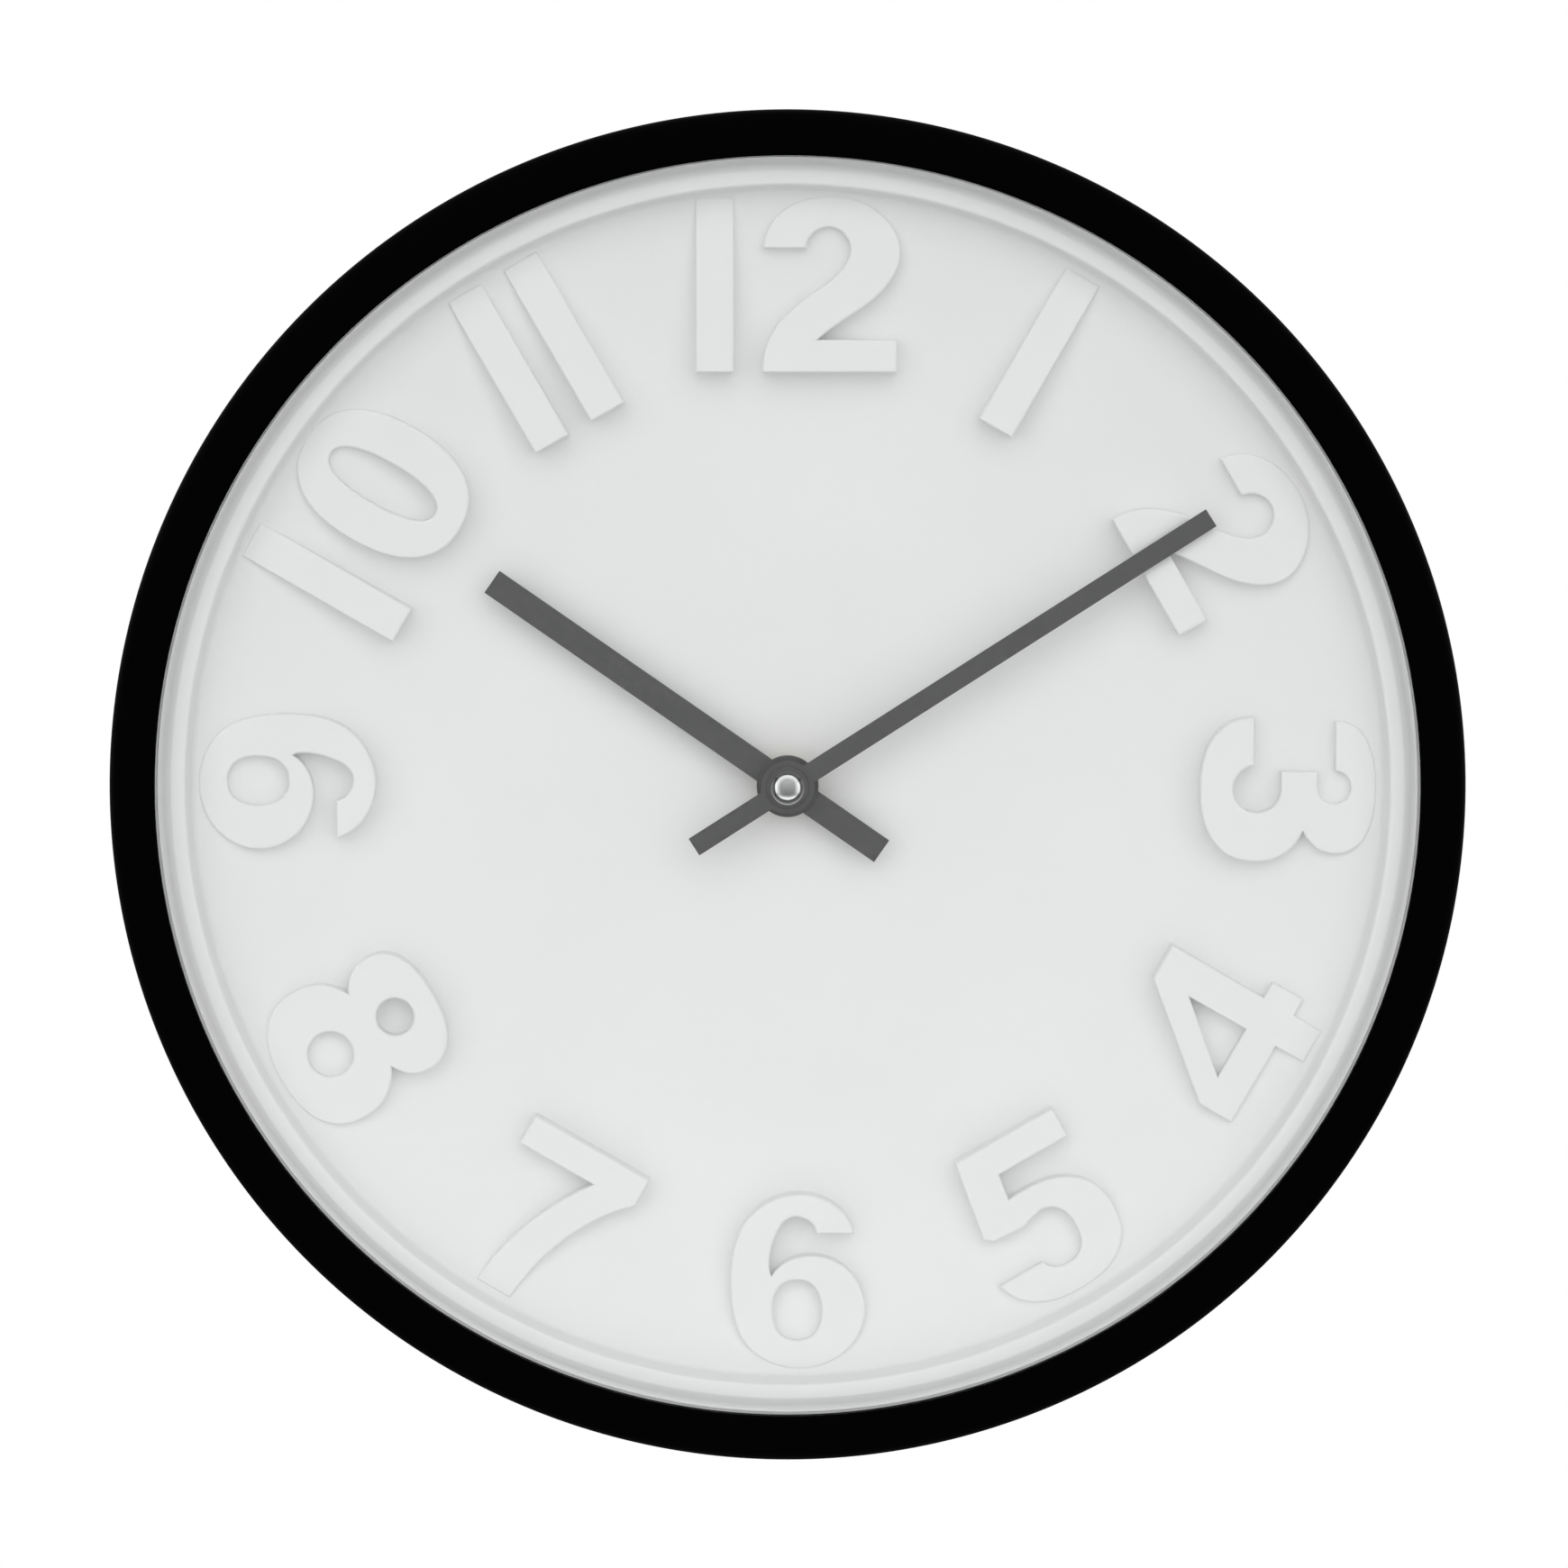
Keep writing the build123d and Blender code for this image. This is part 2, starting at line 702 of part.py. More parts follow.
def hour_wheel():
    body = Pos(0, 0, hour_wheel_level) * wheel(hour_teeth, hour_module, 0)
    body += disc(pipe_radius, hour_wheel_level - 0.3, hour_level + hand_thickness + 0.3)
    return body - disc(minute_radius + running_play, 0, case_front)


def set_knob():
    top = movement_lift - knob_gap
    body = disc(knob_radius, top - knob_height, top)
    body = fillet(body.edges().sort_by(Axis.Z)[0], knob_round)
    for groove in spread(disc(grip_radius, 0, top), knob_radius + grip_offset, knob_grips):
        body -= groove
    body -= disc(key_radius + press_play, top - key_depth, top)
    return on_arbor(body, minute_wheel_spot)


def rotor_pinion():
    body = Pos(0, 0, fifth_wheel_level - pinion_drop) * pinion(driver_leaves, rotor_module, -90)
    body += disc(rotor_stem, cover_floor + 0.6, front_bearing - boss_gap)
    body += disc(pivot_radius, cover_floor + 0.1, cover_floor + 0.6)
    body += disc(pivot_radius, front_bearing - boss_gap, front_bearing + pivot_length)
    body += disc(1.5, magnet_top, magnet_top + 0.25)
    return on_arbor(body, rotor_spot)


def rotor_magnet():
    body = ring(magnet_radius, rotor_stem + press_play, magnet_top - magnet_height, magnet_top)
    return on_arbor(body, rotor_spot)


# ---- movement ----
def shell(low, high, floor_low, floor_high):
    body = block(movement_size, movement_size, low, high, (0, 0), corner_radius)
    hollow = 2 * inner_half
    body -= block(hollow, hollow, low - 1, high + 1, (0, 0), corner_radius - movement_wall)
    body += block(movement_size, movement_size, floor_low, floor_high, (0, 0), corner_radius)
    return body


def divider(low, high):
    return block(2 * inner_half + 0.4, divider_wall, low, high, (0, bay_top + divider_wall / 2))


plate_posts = [(-22.0, -8.0), (22.0, -8.0), (-22.0, 15.5), (22.0, 15.5)]


def bearing(spot, radius, low, high, hole_depth):
    post = disc(radius, low, high, spot)
    return post - disc(pivot_radius + pivot_play, low, low + hole_depth, spot)


def movement_front_case():
    body = shell(split_level, movement_front, case_floor, movement_front)
    body += divider(split_level, case_floor + 0.1)
    thread = disc(tube_radius, movement_front - 0.1, tube_front)
    for i in range(7):
        level = movement_front + 1.4 + 0.75 * i
        thread -= ring(tube_radius + 1, tube_radius - 0.25, level, level + 0.3)
    body += thread
    body -= disc(pipe_radius + running_play, case_floor - 1, tube_front + 1)
    for spot in (third_spot, fifth_spot):
        body += bearing(spot, 0.9, front_bearing, case_floor + 0.1, pivot_length + 0.2)
    body += bearing(rotor_spot, 1.1, front_bearing, case_floor + 0.1, pivot_length + 0.2)
    body -= disc(stub_radius + pivot_play, case_floor, case_floor + stub_depth + boss_gap, minute_wheel_spot)
    for spot in plate_posts:
        body += disc(1.6, plate_front, case_floor + 0.1, spot)
    return body


def movement_rear_case():
    body = shell(movement_lift, split_level, movement_lift, cover_floor)
    bay_low = bay_top - bay_height
    bay_centre = (bay_top + bay_low) / 2
    body += divider(movement_lift, split_level)
    body -= block(2 * inner_half, bay_height, movement_lift - 1, cover_floor + 1, (0, bay_centre))
    body -= disc(stem_radius + stem_play, 0, cover_floor, minute_wheel_spot)
    body += disc(1.1, cover_floor - 0.1, cover_floor + 0.5, rotor_spot)
    body -= disc(pivot_radius + pivot_play, cover_floor, cover_floor + 1, rotor_spot)
    for side in (-1, 1):
        body -= block(1.6, 3.0, split_level - 5, split_level + 1, (side * (inner_half - 0.8), bay_top + 0.6))
    return body


def middle_plate():
    body = block(50.0, 27.6, plate_back, plate_front, (0, 4.6), 2)
    for spot in (third_spot, fifth_spot, (0, 0)):
        body -= disc(pivot_radius + pivot_play, 0, plate_front, spot)
    body -= disc(rotor_stem + rotor_play, 0, plate_front, rotor_spot)
    body -= disc(stem_radius + 3 * stem_play, 0, plate_front, minute_wheel_spot)
    return body


def fixing_nut():
    low = floor_level + washer_thickness
    body = Pos(0, 0, low) * extrude(RegularPolygon(nut_width / 2, 6, major_radius=False), nut_height)
    body = chamfer(body.edges().group_by(Axis.Z)[-1], 0.4)
    return body - disc(tube_radius + thread_play, 0, case_front)


def fixing_washer():
    return ring(washer_radius, tube_radius + 0.1, floor_level, floor_level + washer_thickness)


def movement_pad():
    body = block(30.0, 30.0, movement_front, dial_back, (0, 0), 3)
    return body - disc(tube_radius + 2 * tube_play, 0, dial_back)


def battery():
    can = Rot(0, 90, 0) * extrude(Circle(battery_radius), battery_length)
    can = fillet(can.edges(), battery_edge)
    nub = Pos(battery_length, 0, 0) * Rot(0, 90, 0) * extrude(Circle(nub_radius), nub_length)
    return Pos(battery_left, battery_y, battery_z) * (can + nub)


battery_z = case_floor - battery_radius - 0.15
battery_left = nub_length / 2 - battery_length / 2 + battery_shift
battery_right = battery_left + battery_length + nub_length
contact_sheet = 0.4


def contact_strip(side, face_x):
    """A bent strip: against the bay's end wall, up through the divider, under the board."""
    wall_x = side * inner_half
    plate_x = (wall_x + face_x) / 2
    body = block(abs(wall_x - face_x), 9.0, battery_z - 4.5, battery_z + 4.5, (plate_x, battery_y))
    riser = bay_top - battery_y + 4.0
    low = split_level - 3.0
    body += block(contact_sheet, riser, low, low + 2.4,
                  (side * (inner_half - contact_sheet / 2), battery_y + riser / 2))
    return body


def positive_contact():
    return contact_strip(1, battery_right)


def negative_contact():
    face = -(inner_half - contact_sheet)
    body = contact_strip(-1, face)
    travel = battery_left - face
    wire = 0.3
    coil = Helix(pitch=travel / 3.2, height=travel - 2 * wire, radius=4.0, cone_angle=-35)
    section = Plane(coil @ 0, z_dir=coil % 0) * Circle(wire)
    spring = sweep(section, path=coil, is_frenet=True)
    return body + Pos(face + wire * 0.8, battery_y, battery_z) * Rot(0, 90, 0) * spring


board_width = 12.0
board_height = 20.0
board_front = plate_back - 0.1
board_thickness = 0.7
board_spot = (-18.5, 0.8)


def circuit_board():
    low = board_front - board_thickness
    return block(board_width, board_height, low, board_front, board_spot, 0.6)


def driver_chip():
    high = board_front - board_thickness
    return block(5.0, 5.0, high - 1.1, high, (board_spot[0], board_spot[1] + 2), 1.2)


def quartz_crystal():
    high = board_front - board_thickness
    can = Rot(0, 90, 0) * extrude(Circle(0.75), 5.0)
    return Pos(board_spot[0] - 2.5, board_spot[1] - 6, high - 0.75) * can


def coil_core():
    low = stator_level + stator_thickness
    return block(29.0, 2.4, low, low + core_thickness, (0, coil_y))


def stator():
    body = block(30.0, 4.4, 0, stator_thickness, (0, coil_y))
    body += block(7.0, 13.0, 0, stator_thickness, (-11.5, coil_y - 4.3))
    body += block(7.0, 13.0, 0, stator_thickness, (11.5, coil_y - 4.3))
    body -= block(17.0, 20.0, -1, 2, (0, coil_y))
    body += block(22.0, 7.4, 0, stator_thickness, (0, rotor_spot[1] - 1.4), 1)
    body -= disc(magnet_radius + magnet_gap, 0, stator_thickness, rotor_spot)
    clear = block(17.0, 6.0, -1, 2, (0, coil_y - 0.4))
    return Pos(0, 0, stator_level) * (body - clear)


def coil_bobbin():
    centre = stator_level + stator_thickness + core_thickness / 2
    barrel = block(16.0, 4.2, centre - 1.1, centre + 1.1, (0, coil_y))
    for side in (-1, 1):
        barrel += block(0.8, 6.6, centre - 2.4, centre + 2.4, (side * 7.6, coil_y))
    return barrel - block(20.0, 2.4 + 0.04, centre - 0.42, centre + 0.42, (0, coil_y))


def coil_winding():
    centre = stator_level + stator_thickness + core_thickness / 2
    body = block(14.4, 6.0, centre - 2.0, centre + 2.0, (0, coil_y))
    body = fillet(body.edges().filter_by(Axis.X), 0.9)
    return body - block(16.0, 4.2, centre - 1.1, centre + 1.1, (0, coil_y))


# ---- hands ----
def hand(reach, tail, width, hub, level, angle):
    """A straight bar with a round hub, pointing clockwise from twelve."""
    length = reach + tail
    blade = Pos((reach - tail) / 2, 0, level) * extrude(Rectangle(length, width), hand_thickness)
    boss = disc(hub, level, level + hand_thickness + hub_rise)
    boss = chamfer(boss.edges().group_by(Axis.Z)[-1], hub_chamfer)
    return Rot(0, 0, -clock_turn - angle) * (blade + boss)


def hour_hand():
    body = hand(hour_reach, hour_tail, hour_width, hour_hub, hour_level, hour_angle)
    return body - disc(collet_radius + press_play, 0, case_front)


def hour_collet():
    bore = pipe_radius + press_play
    low = hour_level - collet_depth
    body = ring(collet_radius, bore, low, hour_level + hand_thickness + hub_rise)
    return body + ring(collet_flange, bore, low, hour_level)


def minute_hand():
    body = hand(minute_reach, minute_tail, minute_width, minute_hub, minute_level, minute_angle)
    hole = Circle(hub_square + press_play) & Rectangle(2 * minute_radius, hub_flats + 2 * press_play)
    return body - extrude(hole, case_front)


def cap_nut():
    low = minute_level + hand_thickness + hub_rise
    rise = cap_height - cap_straight
    curve = (cap_radius ** 2 + rise ** 2) / (2 * rise)
    half = cap_radius / 2
    knee = (half, cap_top - curve + math.sqrt(curve ** 2 - half ** 2))
    body = revolved([
        Line((0, low), (cap_radius, low)),
        Line((cap_radius, low), (cap_radius, low + cap_straight)),
        ThreePointArc((cap_radius, low + cap_straight), knee, (0, cap_top)),
        Line((0, cap_top), (0, low)),
    ])
    return body - disc(hub_square + thread_play, 0, cap_top - cap_wall)


makers = {
    "bezel": bezel,
    "lens": lens,
    "lens_gasket": lens_gasket,
    "dial": dial,
    "rear_case": rear_case,
    "case_screws": case_screws,
    "hanger_plate": hanger_plate,
    "hanger_screws": hanger_screws,
    "movement_front_case": movement_front_case,
    "movement_rear_case": movement_rear_case,
    "middle_plate": middle_plate,
    "fixing_nut": fixing_nut,
    "fixing_washer": fixing_washer,
    "movement_pad": movement_pad,
    "battery": battery,
    "positive_contact": positive_contact,
    "negative_contact": negative_contact,
    "circuit_board": circuit_board,
    "driver_chip": driver_chip,
    "quartz_crystal": quartz_crystal,
    "coil_core": coil_core,
    "coil_bobbin": coil_bobbin,
    "coil_winding": coil_winding,
    "stator": stator,
    "rotor_magnet": rotor_magnet,
    "rotor_pinion": rotor_pinion,
    "fifth_wheel": fifth_wheel,
    "seconds_wheel": seconds_wheel,
    "third_wheel": third_wheel,
    "centre_wheel": centre_wheel,
    "minute_arbor": minute_arbor,
    "minute_wheel": minute_wheel,
    "set_knob": set_knob,
    "hour_wheel": hour_wheel,
    "hour_hand": hour_hand,
    "hour_collet": hour_collet,
    "minute_hand": minute_hand,
    "cap_nut": cap_nut,
}

stand_up = Pos(0, 0, -keyhole_height) * Rot(90, 0, 0)

for name, make in makers.items():
    export_step(stand_up * make(), f"parts/{name}.step")
    print(name)
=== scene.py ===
import json
import math

import bmesh
import bpy
from mathutils import Matrix, Vector


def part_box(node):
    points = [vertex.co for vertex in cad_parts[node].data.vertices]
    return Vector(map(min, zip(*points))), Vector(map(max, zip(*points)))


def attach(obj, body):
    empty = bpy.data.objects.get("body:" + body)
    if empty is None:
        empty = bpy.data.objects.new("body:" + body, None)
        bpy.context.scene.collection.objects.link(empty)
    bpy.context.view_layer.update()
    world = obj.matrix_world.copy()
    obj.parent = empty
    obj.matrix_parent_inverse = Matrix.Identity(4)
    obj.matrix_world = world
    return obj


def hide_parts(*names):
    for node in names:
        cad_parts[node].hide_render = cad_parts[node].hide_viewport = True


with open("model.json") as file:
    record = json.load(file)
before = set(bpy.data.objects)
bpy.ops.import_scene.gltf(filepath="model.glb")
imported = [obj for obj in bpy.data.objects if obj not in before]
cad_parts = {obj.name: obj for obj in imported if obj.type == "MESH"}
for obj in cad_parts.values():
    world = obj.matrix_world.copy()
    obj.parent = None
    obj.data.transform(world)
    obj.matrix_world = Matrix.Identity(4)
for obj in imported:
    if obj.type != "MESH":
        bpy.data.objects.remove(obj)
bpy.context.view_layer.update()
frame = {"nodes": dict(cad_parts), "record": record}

mm = 0.001

# where the clock is, read from the frame
bezelLow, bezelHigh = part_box("bezel")
centreX = (bezelLow.x + bezelHigh.x) / 2
centreZ = (bezelLow.z + bezelHigh.z) / 2
caseRadius = (bezelHigh.z - bezelLow.z) / 2


def backOf(node):  # distance of a node's rear from the wall, which is y = 0
    return -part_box(node)[1].y


def frontOf(node):
    return -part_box(node)[0].y


def widthOf(node):
    low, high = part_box(node)
    return high.x - low.x


# materials
def newNode(tree, kind, **values):
    node = tree.nodes.new(kind)
    for name, value in values.items():
        setattr(node, name, value)
    return node


def noiseOn(tree, coords, scale, detail=3.0, stretch=(1, 1, 1)):
    mapping = newNode(tree, "ShaderNodeMapping")
    mapping.inputs["Scale"].default_value = stretch
    tree.links.new(coords, mapping.inputs["Vector"])
    noise = newNode(tree, "ShaderNodeTexNoise")
    noise.inputs["Scale"].default_value = scale
    noise.inputs["Detail"].default_value = detail
    tree.links.new(mapping.outputs["Vector"], noise.inputs["Vector"])
    return noise.outputs["Fac"]


def spreadTo(tree, value, low, high, fromLow=0.3, fromHigh=0.7):
    ramp = newNode(tree, "ShaderNodeMapRange")
    ramp.inputs["From Min"].default_value = fromLow
    ramp.inputs["From Max"].default_value = fromHigh
    ramp.inputs["To Min"].default_value = low
    ramp.inputs["To Max"].default_value = high
    tree.links.new(value, ramp.inputs["Value"])
    return ramp.outputs["Result"]


def mixColours(tree, factor, first, second):
    mix = newNode(tree, "ShaderNodeMix", data_type="RGBA")
    tree.links.new(factor, mix.inputs["Factor"])
    for socket, colour in ((mix.inputs[6], first), (mix.inputs[7], second)):
        if isinstance(colour, tuple):
            socket.default_value = (*colour, 1)
        else:
            tree.links.new(colour, socket)
    return mix.outputs[2]


def finishOf(name, base, second=None, rough=(0.4, 0.5), metal=0.0, shine=0.5, mottle=60.0,
             grain=900.0, grainDepth=0.02, stretch=(1, 1, 1), coat=0.0):
    # one surface: mottled colour, uneven gloss and a fine moulded or brushed grain
    material = bpy.data.materials.new(name)
    material.use_nodes = True
    tree = material.node_tree
    shader = tree.nodes["Principled BSDF"]
    coords = newNode(tree, "ShaderNodeTexCoord").outputs["Object"]
    broad = noiseOn(tree, coords, mottle, 4.0)
    fine = noiseOn(tree, coords, grain, 2.0, stretch)
    second = second or tuple(channel * 0.93 for channel in base)
    colour = mixColours(tree, spreadTo(tree, broad, 0, 1), base, second)
    tree.links.new(colour, shader.inputs["Base Color"])
    tree.links.new(spreadTo(tree, fine, rough[0], rough[1]), shader.inputs["Roughness"])
    bump = newNode(tree, "ShaderNodeBump")
    bump.inputs["Strength"].default_value = 1.0
    bump.inputs["Distance"].default_value = grainDepth * mm
    tree.links.new(fine, bump.inputs["Height"])
    tree.links.new(bump.outputs["Normal"], shader.inputs["Normal"])
    shader.inputs["Metallic"].default_value = metal
    shader.inputs["Specular IOR Level"].default_value = shine
    if coat:
        shader.inputs["Coat Weight"].default_value = coat
        shader.inputs["Coat Roughness"].default_value = 0.12
    return material


def grey(level):
    return (level, level, level)


def makeFinishes():
    return {
        "case_black": finishOf("caseBlack", grey(0.0004), grey(0.0003), (0.38, 0.5),
                               shine=0.008, mottle=40, grain=1400, grainDepth=0.012),
        "rubber_black": finishOf("rubberBlack", grey(0.02), rough=(0.7, 0.85), shine=0.3,
                                 grain=1100, grainDepth=0.02),
        "dial_white": finishOf("dialWhite", grey(0.82), grey(0.805), (0.48, 0.6),
                               shine=0.25, mottle=25, grain=1500, grainDepth=0.004),
        "screw_steel": finishOf("screwSteel", (0.55, 0.55, 0.54), (0.4, 0.4, 0.4), (0.25, 0.42), 1.0,
                                mottle=700, grain=2600, grainDepth=0.01),
        "plate_zinc": finishOf("plateZinc", (0.62, 0.62, 0.61), (0.48, 0.48, 0.48), (0.28, 0.45), 1.0,
                               mottle=300, grain=900, grainDepth=0.008, stretch=(1, 1, 0.08)),
        "movement_black": finishOf("movementBlack", (0.022, 0.022, 0.023), rough=(0.5, 0.66),
                                   shine=0.35, grain=2200, grainDepth=0.03),
        "movement_grey": finishOf("movementGrey", (0.3, 0.31, 0.32), rough=(0.45, 0.55)),
        "brass": finishOf("brass", (0.78, 0.6, 0.28), (0.66, 0.48, 0.2), (0.2, 0.34), 1.0,
                          mottle=300, grain=2600, grainDepth=0.006),
        "contact_nickel": finishOf("contactNickel", (0.72, 0.7, 0.66), (0.58, 0.56, 0.52),
                                   (0.18, 0.32), 1.0, mottle=400, grain=2600, grainDepth=0.006),
        "board_green": finishOf("boardGreen", (0.015, 0.14, 0.06), (0.03, 0.2, 0.09), (0.25, 0.4),
                                mottle=500, coat=0.4),
        "chip_black": finishOf("chipBlack", grey(0.01), rough=(0.15, 0.3), mottle=400),
        "crystal_can": finishOf("crystalCan", grey(0.8), grey(0.65), (0.2, 0.3), 1.0,
                                grain=3000, stretch=(0.1, 1, 1)),
        "core_steel": finishOf("coreSteel", (0.45, 0.45, 0.46), (0.36, 0.36, 0.37), (0.3, 0.45), 1.0,
                               grain=2400, stretch=(0.1, 1, 1)),
        "bobbin_white": finishOf("bobbinWhite", (0.7, 0.7, 0.64), rough=(0.4, 0.5)),
        "winding_copper": finishOf("windingCopper", (0.75, 0.28, 0.12), (0.6, 0.2, 0.08),
                                   (0.2, 0.32), 1.0, mottle=900, coat=0.6),
        "magnet_dark": finishOf("magnetDark", (0.12, 0.12, 0.13), rough=(0.4, 0.6), metal=0.8,
                                mottle=900),
        "wheel_white": finishOf("wheelWhite", (0.78, 0.77, 0.71), rough=(0.35, 0.45), grain=2000),
        "wheel_black": finishOf("wheelBlack", grey(0.03), rough=(0.4, 0.5), grain=2000),
        "knob_black": finishOf("knobBlack", (0.024, 0.024, 0.025), rough=(0.45, 0.6), shine=0.4,
                               grain=2200, grainDepth=0.03),
        "hand_grey": handFinish(),
        "cap_chrome": chromePaintedReflectionFinish(),
        "lens": glassFinish(),
        "battery_jacket": batteryFinish(),
    }


# the cap's colours are painted reflection: a grey middle where it faces the eye and a bright painted
# highlight towards the rim
capPaintedReflection = {"middle": 0.3, "middleSecond": 0.25, "rim": 0.95, "paintedRimStart": 0.04, "paintedRimEnd": 0.16}


def chromePaintedReflectionFinish():
    # polished cap with painted reflection: its colour is a painted grey where it faces the eye and a
    # painted highlight bright towards its rim
    material = finishOf("capChromePaintedReflection", grey(capPaintedReflection["middle"]), grey(capPaintedReflection["middleSecond"]),
                        (0.07, 0.12), 1.0, mottle=500, grain=2600, grainDepth=0.001)
    tree = material.node_tree
    shader = tree.nodes["Principled BSDF"]
    plain = shader.inputs["Base Color"].links[0].from_socket
    turned = newNode(tree, "ShaderNodeLayerWeight")
    turned.inputs["Blend"].default_value = 0.5
    # painted highlight: brightens the colour towards the rim as the dome turns away from view; the grey
    # middle is painted reflection
    rim = spreadTo(tree, turned.outputs["Facing"], 0, 1, capPaintedReflection["paintedRimStart"], capPaintedReflection["paintedRimEnd"])
    tree.links.new(mixColours(tree, rim, plain, grey(capPaintedReflection["rim"])), shader.inputs["Base Color"])
    return material


handLook = {
    "lacquer": 0.085,
    "lacquerSecond": 0.062,
    "flake": (0.15, 0.15, 0.152),
    "flakeScale": 1600.0,
    "flakeShare": 0.35,
    "flakeEnd": 0.45,
    # the edge colour and its share are painted shade, mixed in where the hand's surface turns away from
    # view
    "edge": 0.03,
    "paintedEdgeShadeShare": 0.75,
}


def handFinish():
    # grey metallic lacquer: fine flakes, a slow mottle, and painted shade that darkens it where an edge
    # turns away from view
    material = finishOf("handGreyPaintedEdgeShade", grey(handLook["lacquer"]), grey(handLook["lacquerSecond"]),
                        (0.4, 0.62), shine=0.3, mottle=700, grain=2200, grainDepth=0.02)
    tree = material.node_tree
    shader = tree.nodes["Principled BSDF"]
    coords = newNode(tree, "ShaderNodeTexCoord").outputs["Object"]
    flakes = newNode(tree, "ShaderNodeTexVoronoi")
    flakes.inputs["Scale"].default_value = handLook["flakeScale"]
    tree.links.new(coords, flakes.inputs["Vector"])
    middle, share, end = flakes.outputs["Distance"], handLook["flakeShare"], handLook["flakeEnd"]
    bright = spreadTo(tree, middle, share, 0, 0.0, end)
    lacquer = shader.inputs["Base Color"].links[0].from_socket
    flaked = mixColours(tree, bright, lacquer, handLook["flake"])
    turned = newNode(tree, "ShaderNodeLayerWeight")
    turned.inputs["Blend"].default_value = 0.35
    # painted shade: darkens the colour where the surface turns away from view
    edge = spreadTo(tree, turned.outputs["Facing"], 0, handLook["paintedEdgeShadeShare"], 0.15, 0.6)
    tree.links.new(mixColours(tree, edge, flaked, grey(handLook["edge"])), shader.inputs["Base Color"])
    return material


glassLook = {"tint": (0.995, 0.998, 0.997, 1), "index": 1.2, "smearScale": 18.0, "rough": (0.01, 0.05)}


def glassFinish():
    # clear window glass: see-through, with a mirror sheen that grows towards the edge of sight
    material = bpy.data.materials.new("lensGlass")
    material.use_nodes = True
    tree = material.node_tree
    tree.nodes.remove(tree.nodes["Principled BSDF"])
    coords = newNode(tree, "ShaderNodeTexCoord").outputs["Object"]
    smears = spreadTo(tree, noiseOn(tree, coords, glassLook["smearScale"], 4.0), *glassLook["rough"])
    clear = newNode(tree, "ShaderNodeBsdfTransparent")
    clear.inputs["Color"].default_value = glassLook["tint"]
    gloss = newNode(tree, "ShaderNodeBsdfGlossy")
    gloss.inputs["Color"].default_value = (1, 1, 1, 1)
    tree.links.new(smears, gloss.inputs["Roughness"])
    fresnel = newNode(tree, "ShaderNodeFresnel")
    fresnel.inputs["IOR"].default_value = glassLook["index"]
    mix = newNode(tree, "ShaderNodeMixShader")
    tree.links.new(fresnel.outputs["Fac"], mix.inputs["Fac"])
    tree.links.new(clear.outputs[0], mix.inputs[1])
    tree.links.new(gloss.outputs[0], mix.inputs[2])
    tree.links.new(mix.outputs[0], tree.nodes["Material Output"].inputs["Surface"])
    return material


batteryLook = {"jacket": (0.012, 0.05, 0.04), "band": (0.55, 0.36, 0.12), "bandShare": 0.3,
               "bandBlur": 0.1 * mm}


def batteryFinish():
    # a dark jacket with a coppery band at the positive end
    material = finishOf("batteryJacket", batteryLook["jacket"], rough=(0.22, 0.32), mottle=80, coat=0.3)
    tree = material.node_tree
    shader = tree.nodes["Principled BSDF"]
    low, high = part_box("battery")
    split = high.x - (high.x - low.x) * batteryLook["bandShare"]
    blur = batteryLook["bandBlur"]
    coords = newNode(tree, "ShaderNodeTexCoord").outputs["Object"]
    parts = newNode(tree, "ShaderNodeSeparateXYZ")
    tree.links.new(coords, parts.inputs[0])
    along = spreadTo(tree, parts.outputs["X"], 0, 1, split - blur, split + blur)
    mottled = shader.inputs["Base Color"].links[0].from_socket
    tree.links.new(mixColours(tree, along, mottled, batteryLook["band"]), shader.inputs["Base Color"])
    return material


# mesh helpers
def addPiece(name, mesh, material, body, nodes):
    piece = bpy.data.objects.new(name, mesh)
    bpy.context.scene.collection.objects.link(piece)
    mesh.materials.clear()
    mesh.materials.append(material)
    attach(piece, body)
    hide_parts(*nodes)


def smoothByAngle(mesh, degrees=32):
    mesh.shade_smooth()
    mesh.set_sharp_from_angle(angle=math.radians(degrees))


def fillet(corner, before, after, radius, steps=5):
    # the points of a rounded corner, from the side of before to the side of after
    toBefore = (before - corner).normalized()
    toAfter = (after - corner).normalized()
    half = toBefore.angle(toAfter) / 2
    reach = radius / math.tan(half)
    middle = corner + (toBefore + toAfter).normalized() * (radius / math.sin(half))
    start = corner + toBefore * reach - middle
    end = corner + toAfter * reach - middle
    sweep = start.angle_signed(end)
    points = []
    for i in range(steps + 1):
        turn = -sweep * i / steps
        c, s = math.cos(turn), math.sin(turn)
        points.append(middle + Vector((start.x * c - start.y * s, start.x * s + start.y * c)))
    return points


def softProfile(corners):
    # corners are (radius, depth, rounding), in order round a closed section
    points = []
    places = [Vector(corner[:2]) for corner in corners]
    for i, corner in enumerate(corners):
        if corner[2] > 0:
            following = places[(i + 1) % len(places)]
            points += fillet(places[i], places[i - 1], following, corner[2])
        else:
            points.append(places[i])
    return points


